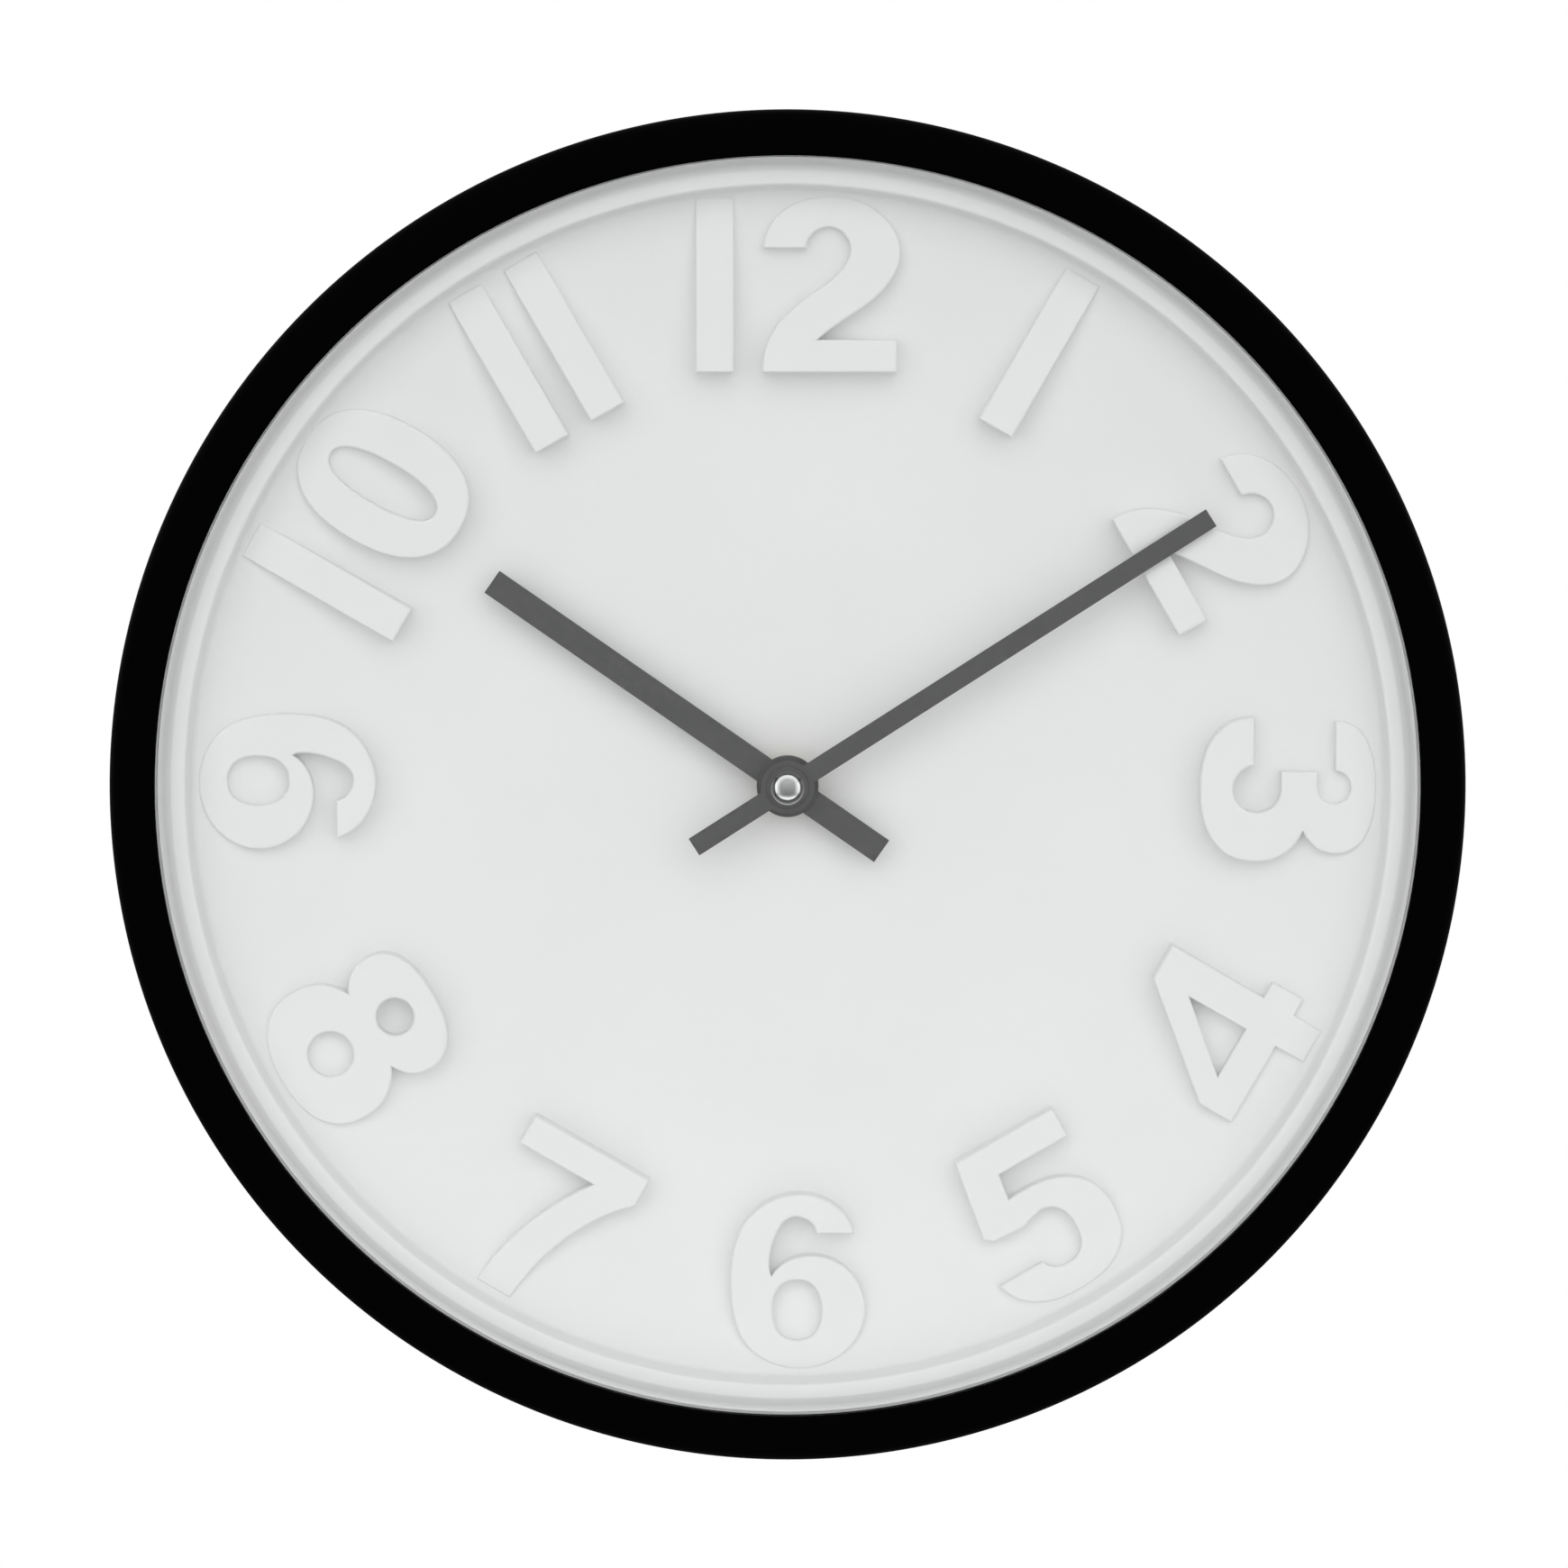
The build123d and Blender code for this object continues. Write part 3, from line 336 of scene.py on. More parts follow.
def latheInto(mesh, profile, segments, spot):
    # turns (radius, depth) points about an axis along y; depth is measured from the wall
    rows = []
    for point in profile:
        if point.x < 1e-7:
            rows.append([mesh.verts.new((centreX + spot[0], -point.y, centreZ + spot[1]))])
            continue
        row = []
        for i in range(segments):
            angle = 2 * math.pi * i / segments
            x = centreX + spot[0] + point.x * math.sin(angle)
            z = centreZ + spot[1] + point.x * math.cos(angle)
            row.append(mesh.verts.new((x, -point.y, z)))
        rows.append(row)
    for first, second in zip(rows, rows[1:] + rows[:1]):
        for i in range(segments):
            j = (i + 1) % segments
            corners = [first[i % len(first)], first[j % len(first)],
                       second[j % len(second)], second[i % len(second)]]
            distinct = list(dict.fromkeys(corners))
            if len(distinct) > 2:
                mesh.faces.new(distinct)


def lathed(name, profile, segments, spot=(0.0, 0.0)):
    mesh = bmesh.new()
    latheInto(mesh, profile, segments, spot)
    bmesh.ops.recalc_face_normals(mesh, faces=mesh.faces)
    result = bpy.data.meshes.new(name)
    mesh.to_mesh(result)
    mesh.free()
    smoothByAngle(result)
    return result


def joinedMesh(name, meshes):
    joined = bmesh.new()
    for mesh in meshes:
        joined.from_mesh(mesh)
    result = bpy.data.meshes.new(name)
    joined.to_mesh(result)
    joined.free()
    smoothByAngle(result)
    return result


def roundedSheet(name, loops, back, front, edge):
    # a flat piece with rounded edges, from closed (x, z) outlines about the clock's axis
    curve = bpy.data.curves.new(name, "CURVE")
    curve.dimensions = "2D"
    curve.fill_mode = "BOTH"
    for loop in loops:
        spline = curve.splines.new("POLY")
        spline.points.add(len(loop) - 1)
        for point, (x, z) in zip(spline.points, loop):
            point.co = (x, z, 0, 1)
        spline.use_cyclic_u = True
    curve.bevel_depth = edge
    curve.bevel_resolution = 3  # steps in a quarter round
    curve.offset = -edge
    curve.extrude = (front - back) / 2 - edge
    holder = bpy.data.objects.new(name, curve)
    bpy.context.scene.collection.objects.link(holder)
    depsgraph = bpy.context.evaluated_depsgraph_get()
    mesh = bpy.data.meshes.new_from_object(holder.evaluated_get(depsgraph))
    bpy.data.objects.remove(holder)
    place = Matrix.Translation((centreX, -(back + front) / 2, centreZ))
    mesh.transform(place @ Matrix.Rotation(math.pi / 2, 4, "X"))
    return mesh


# the dial
turnSides = 360                  # facets round the big turned pieces
dial = {
    "wall": 2.0 * mm,
    "dishStart": 66.0 * mm,      # the floor is flat inside this radius
    "lipInset": 7.5 * mm,        # from the bezel's ring to the foot of the lip
    "lipWidth": 5.1 * mm,
    "lipWall": 1.1 * mm,         # lean of the lip's inner wall
    "lipRound": 1.5 * mm,
    "innerRound": 0.8 * mm,
    "grooveDepth": 0.6 * mm,
    "grooveLean": 0.9 * mm,
    "grooveWidth": 2.1 * mm,
    "grooveCove": 0.6 * mm,
    "footCove": 1.5 * mm,
    "flangeDepth": 4.7 * mm,
    "flangeStart": 1.6 * mm,
    "seatRound": 0.12 * mm,
    "flangeRound": 0.15 * mm,
    "heelRound": 0.3 * mm,
    "numeralRound": 0.55 * mm,
    "numeralGap": 0.35 * mm,     # least distance between an outline's points
    "numeralsFrom": 80 * mm,     # between these radii the numerals stand
    "numeralsTo": 131 * mm,
    "numeralInset": 0.4 * mm,    # from the numerals' outer edge to where the dish is measured
    "numeralSink": 0.3 * mm,     # the dish there lies this far below their face
    "leastRise": 2.0 * mm,       # their face is at least this far above the floor
    "boreRadius": 4.15 * mm,
}


def faceLoops(node, depth):
    # the closed outlines of a node's flat faces at that depth, as lists of (x, z)
    mesh = bmesh.new()
    mesh.from_mesh(frame["nodes"][node].data)
    bmesh.ops.remove_doubles(mesh, verts=mesh.verts, dist=1e-6)
    level = [f for f in mesh.faces if all(abs(v.co.y + depth) < 2e-6 for v in f.verts)]
    inside = set(level)
    following = {}
    for face in level:
        for loop in face.loops:
            if sum(1 for other in loop.edge.link_faces if other in inside) == 1:
                following[loop.vert.index] = loop.link_loop_next.vert.index
    places = {v.index: (v.co.x, v.co.z) for v in mesh.verts}
    mesh.free()
    loops = []
    while following:
        start, here = following.popitem()
        loop = [places[start]]
        while here != start:
            loop.append(places[here])
            here = following.pop(here)
        loops.append(loop)
    return loops


def thinned(loop, gap):
    # drops points nearer than gap to the last one kept, but never a sharp corner
    kept = []
    for i, point in enumerate(loop):
        before, after = Vector(loop[i - 1]), Vector(loop[(i + 1) % len(loop)])
        here = Vector(point)
        turn = (here - before).angle(after - here, 0)
        if turn > math.radians(14) or not kept or (here - Vector(kept[-1])).length > gap:
            kept.append(point)
    return kept


def dishDepth(radius):
    # front of the dial's floor at that radius
    if radius <= dial["dishStart"]:
        return dial["floor"]
    run = radius - dial["dishStart"]
    return dial["floor"] + dial["dishRadius"] - math.sqrt(dial["dishRadius"] ** 2 - run ** 2)


def measureDial():
    # the numerals' face is the plane that holds most of the CAD dial's points above its floor
    counts = {}
    for vertex in frame["nodes"]["dial"].data.vertices:
        depth = round(-vertex.co.y, 5)
        radius = math.hypot(vertex.co.x - centreX, vertex.co.z - centreZ)
        if dial["numeralsFrom"] < radius < dial["numeralsTo"]:
            counts[depth] = counts.get(depth, 0) + 1
    dial["floor"] = backOf("dial") + dial["wall"]
    ranked = sorted(counts, key=counts.get, reverse=True)
    dial["face"] = next(d for d in ranked if d > dial["floor"] + dial["leastRise"])
    loops = faceLoops("dial", dial["face"])
    outer = max(math.hypot(x - centreX, z - centreZ) for loop in loops for x, z in loop)
    run = outer - dial["numeralInset"] - dial["dishStart"]
    rise = dial["face"] - dial["floor"] - dial["numeralSink"]
    dial["dishRadius"] = (run ** 2 + rise ** 2) / (2 * rise)
    return loops


def numeralsMesh(loops):
    outlines = []
    for loop in loops:
        outlines.append([(x - centreX, z - centreZ) for x, z in thinned(loop, dial["numeralGap"])])
    low = dial["floor"] - 2 * dial["wall"]
    mesh = roundedSheet("numerals", outlines, low, dial["face"], dial["numeralRound"])
    for vertex in mesh.vertices:
        if -vertex.co.y < (low + dial["face"]) / 2:
            radius = math.hypot(vertex.co.x - centreX, vertex.co.z - centreZ)
            vertex.co.y = -(dishDepth(radius) - dial["wall"] / 2)
    return mesh


def dishProfile(foot, sunk, steps=28):
    # the floor from the flat middle out to the lip's foot, or the surface sunk below it
    points = []
    for i in range(steps + 1):
        radius = dial["dishStart"] + (foot - dial["dishStart"]) * i / steps
        lean = math.asin((radius - dial["dishStart"]) / dial["dishRadius"])
        depth = dishDepth(radius) - sunk * math.cos(lean)
        points.append(Vector((radius + sunk * math.sin(lean), depth)))
    return points


def dialMesh():
    loops = measureDial()
    lip = frontOf("dial")
    ridge = backOf("lens_gasket")
    lipFoot = ringRadius() - dial["lipInset"]
    grooveIn = lipFoot + dial["lipWidth"]
    grooveOut = grooveIn + dial["grooveWidth"]
    flange = widthOf("lens_gasket") / 2
    flangeBack = ridge - dial["flangeDepth"]
    front = dishProfile(lipFoot, 0)
    back = dishProfile(lipFoot, dial["wall"])
    corners = [
        (lipFoot + dial["lipWall"], lip, dial["innerRound"]),
        (grooveIn - dial["grooveLean"], lip, dial["lipRound"]),
        (grooveIn + dial["grooveLean"], lip - dial["grooveDepth"], dial["lipRound"]),
        (grooveOut, lip - dial["grooveDepth"], dial["grooveCove"]),
        (grooveOut, ridge, dial["seatRound"]),
        (flange, ridge, dial["flangeRound"]),
        (flange, flangeBack, dial["flangeRound"]),
        (lipFoot + dial["flangeStart"], flangeBack, dial["heelRound"]),
    ]
    foot = [(front[-2].x, front[-2].y, 0), (front[-1].x, front[-1].y, dial["footCove"])]
    rim = softProfile([*foot, *corners, (back[-1].x, back[-1].y, 0)])
    bore = dial["boreRadius"]
    middle = [Vector((bore, backOf("dial"))), Vector((bore, dial["floor"]))]
    profile = [*middle, *front[:-2], *rim, *reversed(back[:-1])]
    print("dial: dish, lip and", len(loops), "numeral outlines")
    return joinedMesh("dialShape", [lathed("dish", profile, turnSides), numeralsMesh(loops)])


def ringRadius():
    # inner edge of the bezel's ring, from its points on the front face
    front = frontOf("bezel")
    return min(math.hypot(v.co.x - centreX, v.co.z - centreZ)
               for v in frame["nodes"]["bezel"].data.vertices if -v.co.y > front - 0.6 * mm)


finishes = makeFinishes()
rearFinish = finishOf("caseRear", (0.022, 0.022, 0.023), (0.017, 0.017, 0.018), (0.42, 0.6),
                      shine=0.35, mottle=30, grain=900, grainDepth=0.03)
print("finishes:", len(finishes))

for node, shape in frame["nodes"].items():
    slotName = next(s["material_slot"] for s in frame["record"]["subparts"] if s["node"] == node)
    for place in shape.material_slots:
        place.material = rearFinish if node == "rear_case" else finishes[slotName]

addPiece("dial_moulding", dialMesh(), finishes["dial_white"], "case", ["dial"])


# the bezel: one turned ring with its seat for the lens and six screw bosses
bezel = {
    "outerRound": 2.5 * mm,
    "innerRound": 0.5 * mm,
    "rearRound": 0.5 * mm,
    "wall": 2.4 * mm,
    "skirtWall": 1.8 * mm,
    "skirtDepth": 12.0 * mm,
    "lensPlay": 0.4 * mm,
    "bossRadius": 3.6 * mm,
    "pilotRadius": 1.45 * mm,
    "bossLap": 0.2 * mm,
    "seatRound": 0.25 * mm,
    "hollowRound": 0.6 * mm,
    "bossRear": 0.4 * mm,        # bosses stop this far inside the rear edge
    "bossFront": 0.2 * mm,       # and this far past the skirt's end
    "firstBoss": 30,             # degrees from twelve o'clock
    "bossCount": 6,
}


def onCircle(radius, count, first):
    # (x, z) offsets of evenly spread places, clockwise from twelve
    turns = [math.radians(first + 360 * i / count) for i in range(count)]
    return [(radius * math.sin(turn), radius * math.cos(turn)) for turn in turns]


def bossRadius():
    return caseRadius - bezel["wall"] + bezel["bossLap"] - bezel["bossRadius"]


def bezelMesh():
    front, rear, seatDepth = frontOf("bezel"), backOf("bezel"), frontOf("lens")
    inner, wall = ringRadius(), caseRadius - bezel["wall"]
    seat = widthOf("lens") / 2 + bezel["lensPlay"]
    skirt, skirtEnd = seat + bezel["skirtWall"], seatDepth - bezel["skirtDepth"]
    small, big = bezel["seatRound"], bezel["hollowRound"]
    profile = softProfile([
        (inner, front, bezel["innerRound"]),
        (caseRadius, front, bezel["outerRound"]),
        (caseRadius, rear, bezel["rearRound"]),
        (wall, rear, bezel["rearRound"]),
        (wall, seatDepth, big),
        (skirt, seatDepth, big),
        (skirt, skirtEnd, small),
        (seat, skirtEnd, small),
        (seat, seatDepth, small),
        (inner, seatDepth, small),
    ])
    meshes = [lathed("ring", profile, turnSides)]
    boss, hole = bezel["bossRadius"], bezel["pilotRadius"]
    low, high = backOf("bezel") + bezel["bossRear"], skirtEnd + bezel["bossFront"]
    tube = softProfile([(hole, low, 0.2 * mm), (boss, low, 0.3 * mm), (boss, high, 0), (hole, high, 0)])
    for spot in onCircle(bossRadius(), bezel["bossCount"], bezel["firstBoss"]):
        meshes.append(lathed("boss", tube, 40, spot))
    return joinedMesh("bezelShape", meshes)


addPiece("bezel_ring", bezelMesh(), finishes["case_black"], "case", ["bezel"])
print("bezel: ring, seat and", bezel["bossCount"], "bosses")


# lens and gasket
window = {"edge": 0.35 * mm, "gasketRound": 0.2 * mm, "gasketInset": 0.3 * mm}


def windowMeshes():
    radius = widthOf("lens") / 2
    back, front = backOf("lens"), frontOf("lens")
    edge = window["edge"]
    pane = softProfile([(0, back, 0), (radius, back, edge), (radius, front, edge), (0, front, 0)])
    seal = widthOf("lens_gasket") / 2
    low, high = backOf("lens_gasket"), frontOf("lens_gasket")
    inner, soft = ringRadius() + window["gasketInset"], window["gasketRound"]
    band = softProfile([(inner, low, soft), (seal, low, soft), (seal, high, soft), (inner, high, soft)])
    return lathed("pane", pane, turnSides), lathed("band", band, turnSides)


paneMesh, bandMesh = windowMeshes()
addPiece("lens_pane", paneMesh, finishes["lens"], "case", ["lens"])
addPiece("lens_seal", bandMesh, finishes["rubber_black"], "case", ["lens_gasket"])
print("lens and seal")


# hands: stamped strips with rounded edges and a raised hub
hands = {
    "edge": 0.13 * mm,
    "hubEdge": 0.25 * mm,
    "hubRise": 0.4 * mm,
    "hubSides": 96,
    "boreEdge": 0.08 * mm,
    "bossLap": 0.15 * mm,        # how far the raised hub reaches into the strip
    "bossInset": {"hour_hand": 0.02 * mm, "minute_hand": 1.25 * mm},
}


def handPlan(node):
    # direction, reach, tail, half width, hub radius and bore of a hand, measured on its CAD mesh
    points = [Vector((v.co.x - centreX, v.co.z - centreZ)) for v in frame["nodes"][node].data.vertices]
    longest = max(point.length for point in points)
    tips = [point for point in points if point.length > longest - 0.1 * mm]
    along = sum(tips, Vector((0, 0))).normalized()
    across = Vector((-along.y, along.x))
    reach = max(point.dot(along) for point in points)
    tail = -min(point.dot(along) for point in points)
    half = max(abs(point.dot(across)) for point in points if point.dot(along) > reach / 2)
    hub = max(abs(point.dot(across)) for point in points)
    bore = min(point.length for point in points)
    return along, across, reach, tail, half, hub, bore


def handMesh(node):
    along, across, reach, tail, half, hub, bore = handPlan(node)
    edge, back = hands["edge"], backOf(node)
    front = frontOf(node) - hands["hubRise"]
    bend = math.asin(half / hub)
    sides = hands["hubSides"] // 2
    turns = [bend + (math.pi - 2 * bend) * i / sides for i in range(sides + 1)]
    loop = [(reach, -half), (reach, half)]
    loop += [(hub * math.cos(t), hub * math.sin(t)) for t in turns]
    loop += [(-tail, half), (-tail, -half)]
    loop += [(hub * math.cos(math.pi + t), hub * math.sin(math.pi + t)) for t in turns]
    around = [2 * math.pi * i / hands["hubSides"] for i in range(hands["hubSides"])]
    hole = [(bore * math.cos(t), -bore * math.sin(t)) for t in around]
    loops = [[tuple(along * a + across * b) for a, b in ring] for ring in (loop, hole)]
    strip = roundedSheet("strip", loops, back, front, edge)
    low, high = front - hands["bossLap"], frontOf(node)
    outer = hub - hands["bossInset"][node]
    boss = softProfile([
        (bore, low, 0),
        (outer, low, 0),
        (outer, high, hands["hubEdge"]),
        (bore, high, hands["boreEdge"]),
    ])
    return joinedMesh(node + "Shape", [strip, lathed("boss", boss, hands["hubSides"])])


for part in ("hour", "minute"):
    hand = part + "_hand"
    addPiece(hand + "_strip", handMesh(hand), finishes["hand_grey"], part, [hand])
print("hands")


# the chrome cap nut
cap = {
    "band": 1.6 * mm,            # height of the straight side below the dome
    "wall": 1.5 * mm,
    "foot": 0.15 * mm,
    "boreEdge": 0.1 * mm,
    "rearSlice": 0.1 * mm,       # the bore is measured on points this near the rear
    "steps": 22,
    "sides": 96,
}


def capMesh():
    radius, low, top = widthOf("cap_nut") / 2, backOf("cap_nut"), frontOf("cap_nut")
    rise = top - low - cap["band"]
    curve = (radius ** 2 + rise ** 2) / (2 * rise)
    sweep = math.asin(radius / curve)
    dome = []
    for step in range(cap["steps"] + 1):
        lean = sweep * step / cap["steps"]
        dome.append((curve * math.sin(lean), top - curve + curve * math.cos(lean), 0))
    rear = [v.co for v in frame["nodes"]["cap_nut"].data.vertices if -v.co.y < low + cap["rearSlice"]]
    bore = min(math.hypot(place.x - centreX, place.z - centreZ) for place in rear)
    ceiling = top - cap["wall"]
    foot = [(radius, low, cap["foot"]), (bore, low, cap["boreEdge"]), (bore, ceiling, 0), (0, ceiling, 0)]
    return lathed("capShape", softProfile(dome + foot), cap["sides"])


addPiece("cap_dome", capMesh(), finishes["cap_chrome"], "minute", ["cap_nut"])
print("cap nut")


# battery
battery = {
    "crimp": 0.35 * mm,
    "crimpFromEnd": 1.6 * mm,
    "crimpIn": 0.5 * mm,
    "crimpOut": 1.0 * mm,
    "nubRadius": 2.6 * mm,
    "nubLength": 1.2 * mm,
    "nubRound": 0.4 * mm,
    "shoulder": 0.7 * mm,
    "recess": 0.25 * mm,         # sunk discs at both ends
    "ringRound": 0.35 * mm,
    "soft": 0.1 * mm,
    "sides": 96,
}
endShares = {"disc": 0.55, "discEdge": 0.62, "collar": 0.8, "collarInner": 0.74}  # of the radius


def batteryMesh():
    low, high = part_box("battery")
    radius = (high.z - low.z) / 2
    length = high.x - low.x
    body = length - battery["nubLength"]
    soft, recess = battery["soft"], battery["recess"]
    crimp = body - battery["crimpFromEnd"]
    profile = softProfile([
        (0, recess, 0),
        (radius * endShares["disc"], recess, soft),
        (radius * endShares["discEdge"], 0, soft),
        (radius, 0, battery["shoulder"]),
        (radius, crimp, 0.25 * mm),
        (radius - battery["crimp"], crimp + battery["crimpIn"], 0.2 * mm),
        (radius, crimp + battery["crimpOut"], soft),
        (radius, body, battery["ringRound"]),
        (radius * endShares["collar"], body, soft),
        (radius * endShares["collarInner"], body - recess, soft),
        (battery["nubRadius"], body - recess, soft),
        (battery["nubRadius"], length, battery["nubRound"]),
        (0, length, 0),
    ])
    mesh = lathed("batteryShape", profile, battery["sides"], (-centreX, -centreZ))
    middle = (low + high) / 2
    lying = Matrix(((0, -1, 0, low.x), (0, 0, 1, middle.y), (1, 0, 0, middle.z), (0, 0, 0, 1)))
    mesh.transform(lying)
    if lying.determinant() < 0:
        mesh.flip_normals()
    return mesh


addPiece("battery_cell", batteryMesh(), finishes["battery_jacket"], "case", ["battery"])
print("battery")


# screws: cross-headed, their threads turned as rings
caseScrew = {
    "radius": 1.4 * mm,
    "head": 2.9 * mm,
    "length": 13.0 * mm,
    "pitch": 1.0 * mm,
    "thread": 0.3 * mm,
}
plateScrew = {
    "radius": 1.25 * mm,
    "head": 2.3 * mm,
    "length": 7.0 * mm,
    "pitch": 0.9 * mm,
    "thread": 0.28 * mm,
}
screwForm = {
    "sides": 48,
    "faceRings": 14,
    "headEdge": 0.08 * mm,
    "neckRound": 0.1 * mm,
    "tip": 0.6 * mm,
    "crest": 0.35,               # share of the pitch from a groove to its crest
    "endless": 0.7,              # pitches left plain before the tip
}
crossRecess = {"arm": 0.2, "reach": 0.66, "soft": 0.07, "depth": 0.4}   # shares of the head's radius


def clamped(value):
    return min(1, max(0, value))


def screwMesh(name, sizes, spots, sink):
    # sink is the depth of the heads' faces from the wall
    head, radius, pitch = sizes["head"], sizes["radius"], sizes["pitch"]
    root = radius - sizes["thread"]
    neck = head - radius
    rings = screwForm["faceRings"]
    face = [(head * i / rings, 0, 0) for i in range(rings - 1)]
    rim = [(head, 0, screwForm["headEdge"]), (radius, neck, screwForm["neckRound"])]
    count = int((sizes["length"] - neck) / pitch - screwForm["endless"])
    threads = []
    for i in range(count):
        here = neck + pitch * (i + 0.5)
        threads += [(root, here, 0), (radius, here + pitch * screwForm["crest"], 0)]
    tip = [(root, sizes["length"] - screwForm["tip"], 0), (0, sizes["length"], 0)]
    profile = softProfile(face + rim + threads + tip)
    meshes = []
    for spot in spots:
        mesh = lathed(name, profile, screwForm["sides"], spot)
        for vertex in mesh.vertices:
            if -vertex.co.y > 0.01 * mm:  # only the head's face is pressed in
                continue
            x = abs(vertex.co.x - centreX - spot[0]) / head
            z = abs(vertex.co.z - centreZ - spot[1]) / head
            inside = clamped((crossRecess["arm"] - min(x, z)) / crossRecess["soft"])
            inside *= clamped((crossRecess["reach"] - max(x, z)) / crossRecess["soft"])
            vertex.co.y -= inside * crossRecess["depth"] * head
        mesh.transform(Matrix.Translation((0, -sink, 0)))
        meshes.append(mesh)
    return joinedMesh(name, meshes)


def nodeGroup(name, inputs, outcome):
    # an empty Geometry Nodes group, its input node and the identifier of each named input
    group = bpy.data.node_groups.new(name, "GeometryNodeTree")
    names = {}
    for label, kind in inputs.items():
        socket = group.interface.new_socket(name=label, in_out="INPUT", socket_type="NodeSocket" + kind)
        names[label] = socket.identifier
    group.interface.new_socket(name=outcome, in_out="OUTPUT", socket_type="NodeSocketGeometry")
    return group, newNode(group, "NodeGroupInput"), names


def finishGroup(group, source, copies):
    # makes the copies real, gives them their material and hands them on
    real = newNode(group, "GeometryNodeRealizeInstances")
    coat = newNode(group, "GeometryNodeSetMaterial")
    sink = newNode(group, "NodeGroupOutput")
    group.links.new(copies.outputs["Instances"], real.inputs["Geometry"])
    group.links.new(real.outputs["Geometry"], coat.inputs["Geometry"])
    group.links.new(source.outputs["Material"], coat.inputs["Material"])
    group.links.new(coat.outputs["Geometry"], sink.inputs[0])


def copiesGroup():
    # copies of the incoming piece on a circle about the y axis, each turned by a seeded random angle
    inputs = {"Piece": "Geometry", "Count": "Int", "Radius": "Float", "First Angle": "Float",
              "Material": "Material"}
    group, source, names = nodeGroup("copiesOnCircle", inputs, "Copies")
    circle = newNode(group, "GeometryNodeMeshCircle")
    upright = newNode(group, "GeometryNodeTransform")
    upright.inputs["Rotation"].default_value = (math.pi / 2, 0, 0)
    turned = newNode(group, "GeometryNodeTransform")
    angle = newNode(group, "ShaderNodeCombineXYZ")
    spin = newNode(group, "FunctionNodeRandomValue", data_type="FLOAT_VECTOR")
    spin.inputs["Min"].default_value = (0, 0, 0)
    spin.inputs["Max"].default_value = (0, math.pi / 2, 0)
    spin.inputs["Seed"].default_value = 7
    copies = newNode(group, "GeometryNodeInstanceOnPoints")
    link = group.links.new
    link(source.outputs["Count"], circle.inputs["Vertices"])
    link(source.outputs["Radius"], circle.inputs["Radius"])
    link(circle.outputs["Mesh"], upright.inputs["Geometry"])
    link(source.outputs["First Angle"], angle.inputs["Y"])
    link(upright.outputs["Geometry"], turned.inputs["Geometry"])
    link(angle.outputs[0], turned.inputs["Rotation"])
    link(turned.outputs["Geometry"], copies.inputs["Points"])
    link(source.outputs["Piece"], copies.inputs["Instance"])
    link(spin.outputs["Value"], copies.inputs["Rotation"])
    finishGroup(group, source, copies)
    return group, names


def grown(name, mesh, group, values):
    # runs a Geometry Nodes group on a mesh and returns the result as plain mesh
    holder = bpy.data.objects.new(name, mesh)
    bpy.context.scene.collection.objects.link(holder)
    modifier = holder.modifiers.new(name, "NODES")
    modifier.node_group = group
    for identifier, value in values.items():
        modifier[identifier] = value
    holder.update_tag()
    depsgraph = bpy.context.evaluated_depsgraph_get()
    result = bpy.data.meshes.new_from_object(holder.evaluated_get(depsgraph))
    holder.modifiers.remove(modifier)
    bpy.data.objects.remove(holder)
    return result


def caseScrewsMesh():
    one = screwMesh("caseScrew", caseScrew, [(0, 0)], backOf("case_screws"))
    one.transform(Matrix.Translation((-centreX, 0, -centreZ)))
    group, names = copiesGroup()
    six = grown("caseScrews", one, group, {
        names["Count"]: bezel["bossCount"],
        names["Radius"]: bossRadius(),
        names["First Angle"]: -math.radians(90 - bezel["firstBoss"]),
        names["Material"]: finishes["screw_steel"],
    })
    six.transform(Matrix.Translation((centreX, 0, centreZ)))
    smoothByAngle(six)
    return six


def plateScrewsMesh():
    low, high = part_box("hanger_screws")
    x = (low.x + high.x) / 2 - centreX
    spots = [(x, high.z - centreZ - plateScrew["head"]), (x, low.z - centreZ + plateScrew["head"])]
    return screwMesh("plateScrews", plateScrew, spots, backOf("hanger_screws"))


steel = finishes["screw_steel"]
addPiece("case_screw_set", caseScrewsMesh(), steel, "case", ["case_screws"])
addPiece("hanger_screw_pair", plateScrewsMesh(), steel, "case", ["hanger_screws"])
print("screws")


# the setting knob
knob = {
    "grips": 20,
    "gripRadius": 0.55 * mm,
    "gripOffset": 0.15 * mm,     # grips are centred this far outside the rim
    "gripSteps": 12,
    "edge": 0.35 * mm,
    "ridgeRadius": 4.2 * mm,
    "ridgeWidth": 0.5 * mm,
    "ridgeDepth": 0.58 * mm,
    "ridgeRise": 0.02 * mm,
    "ridgeRound": 0.1 * mm,
    "ridgeSides": 64,
}


def knobOutline(radius, spot):
    loop = []
    pitch = 2 * math.pi / knob["grips"]
    centre = radius + knob["gripOffset"]
    count = knob["grips"] * knob["gripSteps"]
    for i in range(count):
        turn = 2 * math.pi * i / count
        off = (turn + pitch / 2) % pitch - pitch / 2
        reach = radius
        across = centre * math.sin(off)
        if abs(across) < knob["gripRadius"]:
            reach = centre * math.cos(off) - math.sqrt(knob["gripRadius"] ** 2 - across ** 2)
        reach = min(reach, radius)
        loop.append((spot[0] + reach * math.sin(turn), spot[1] + reach * math.cos(turn)))
    return loop


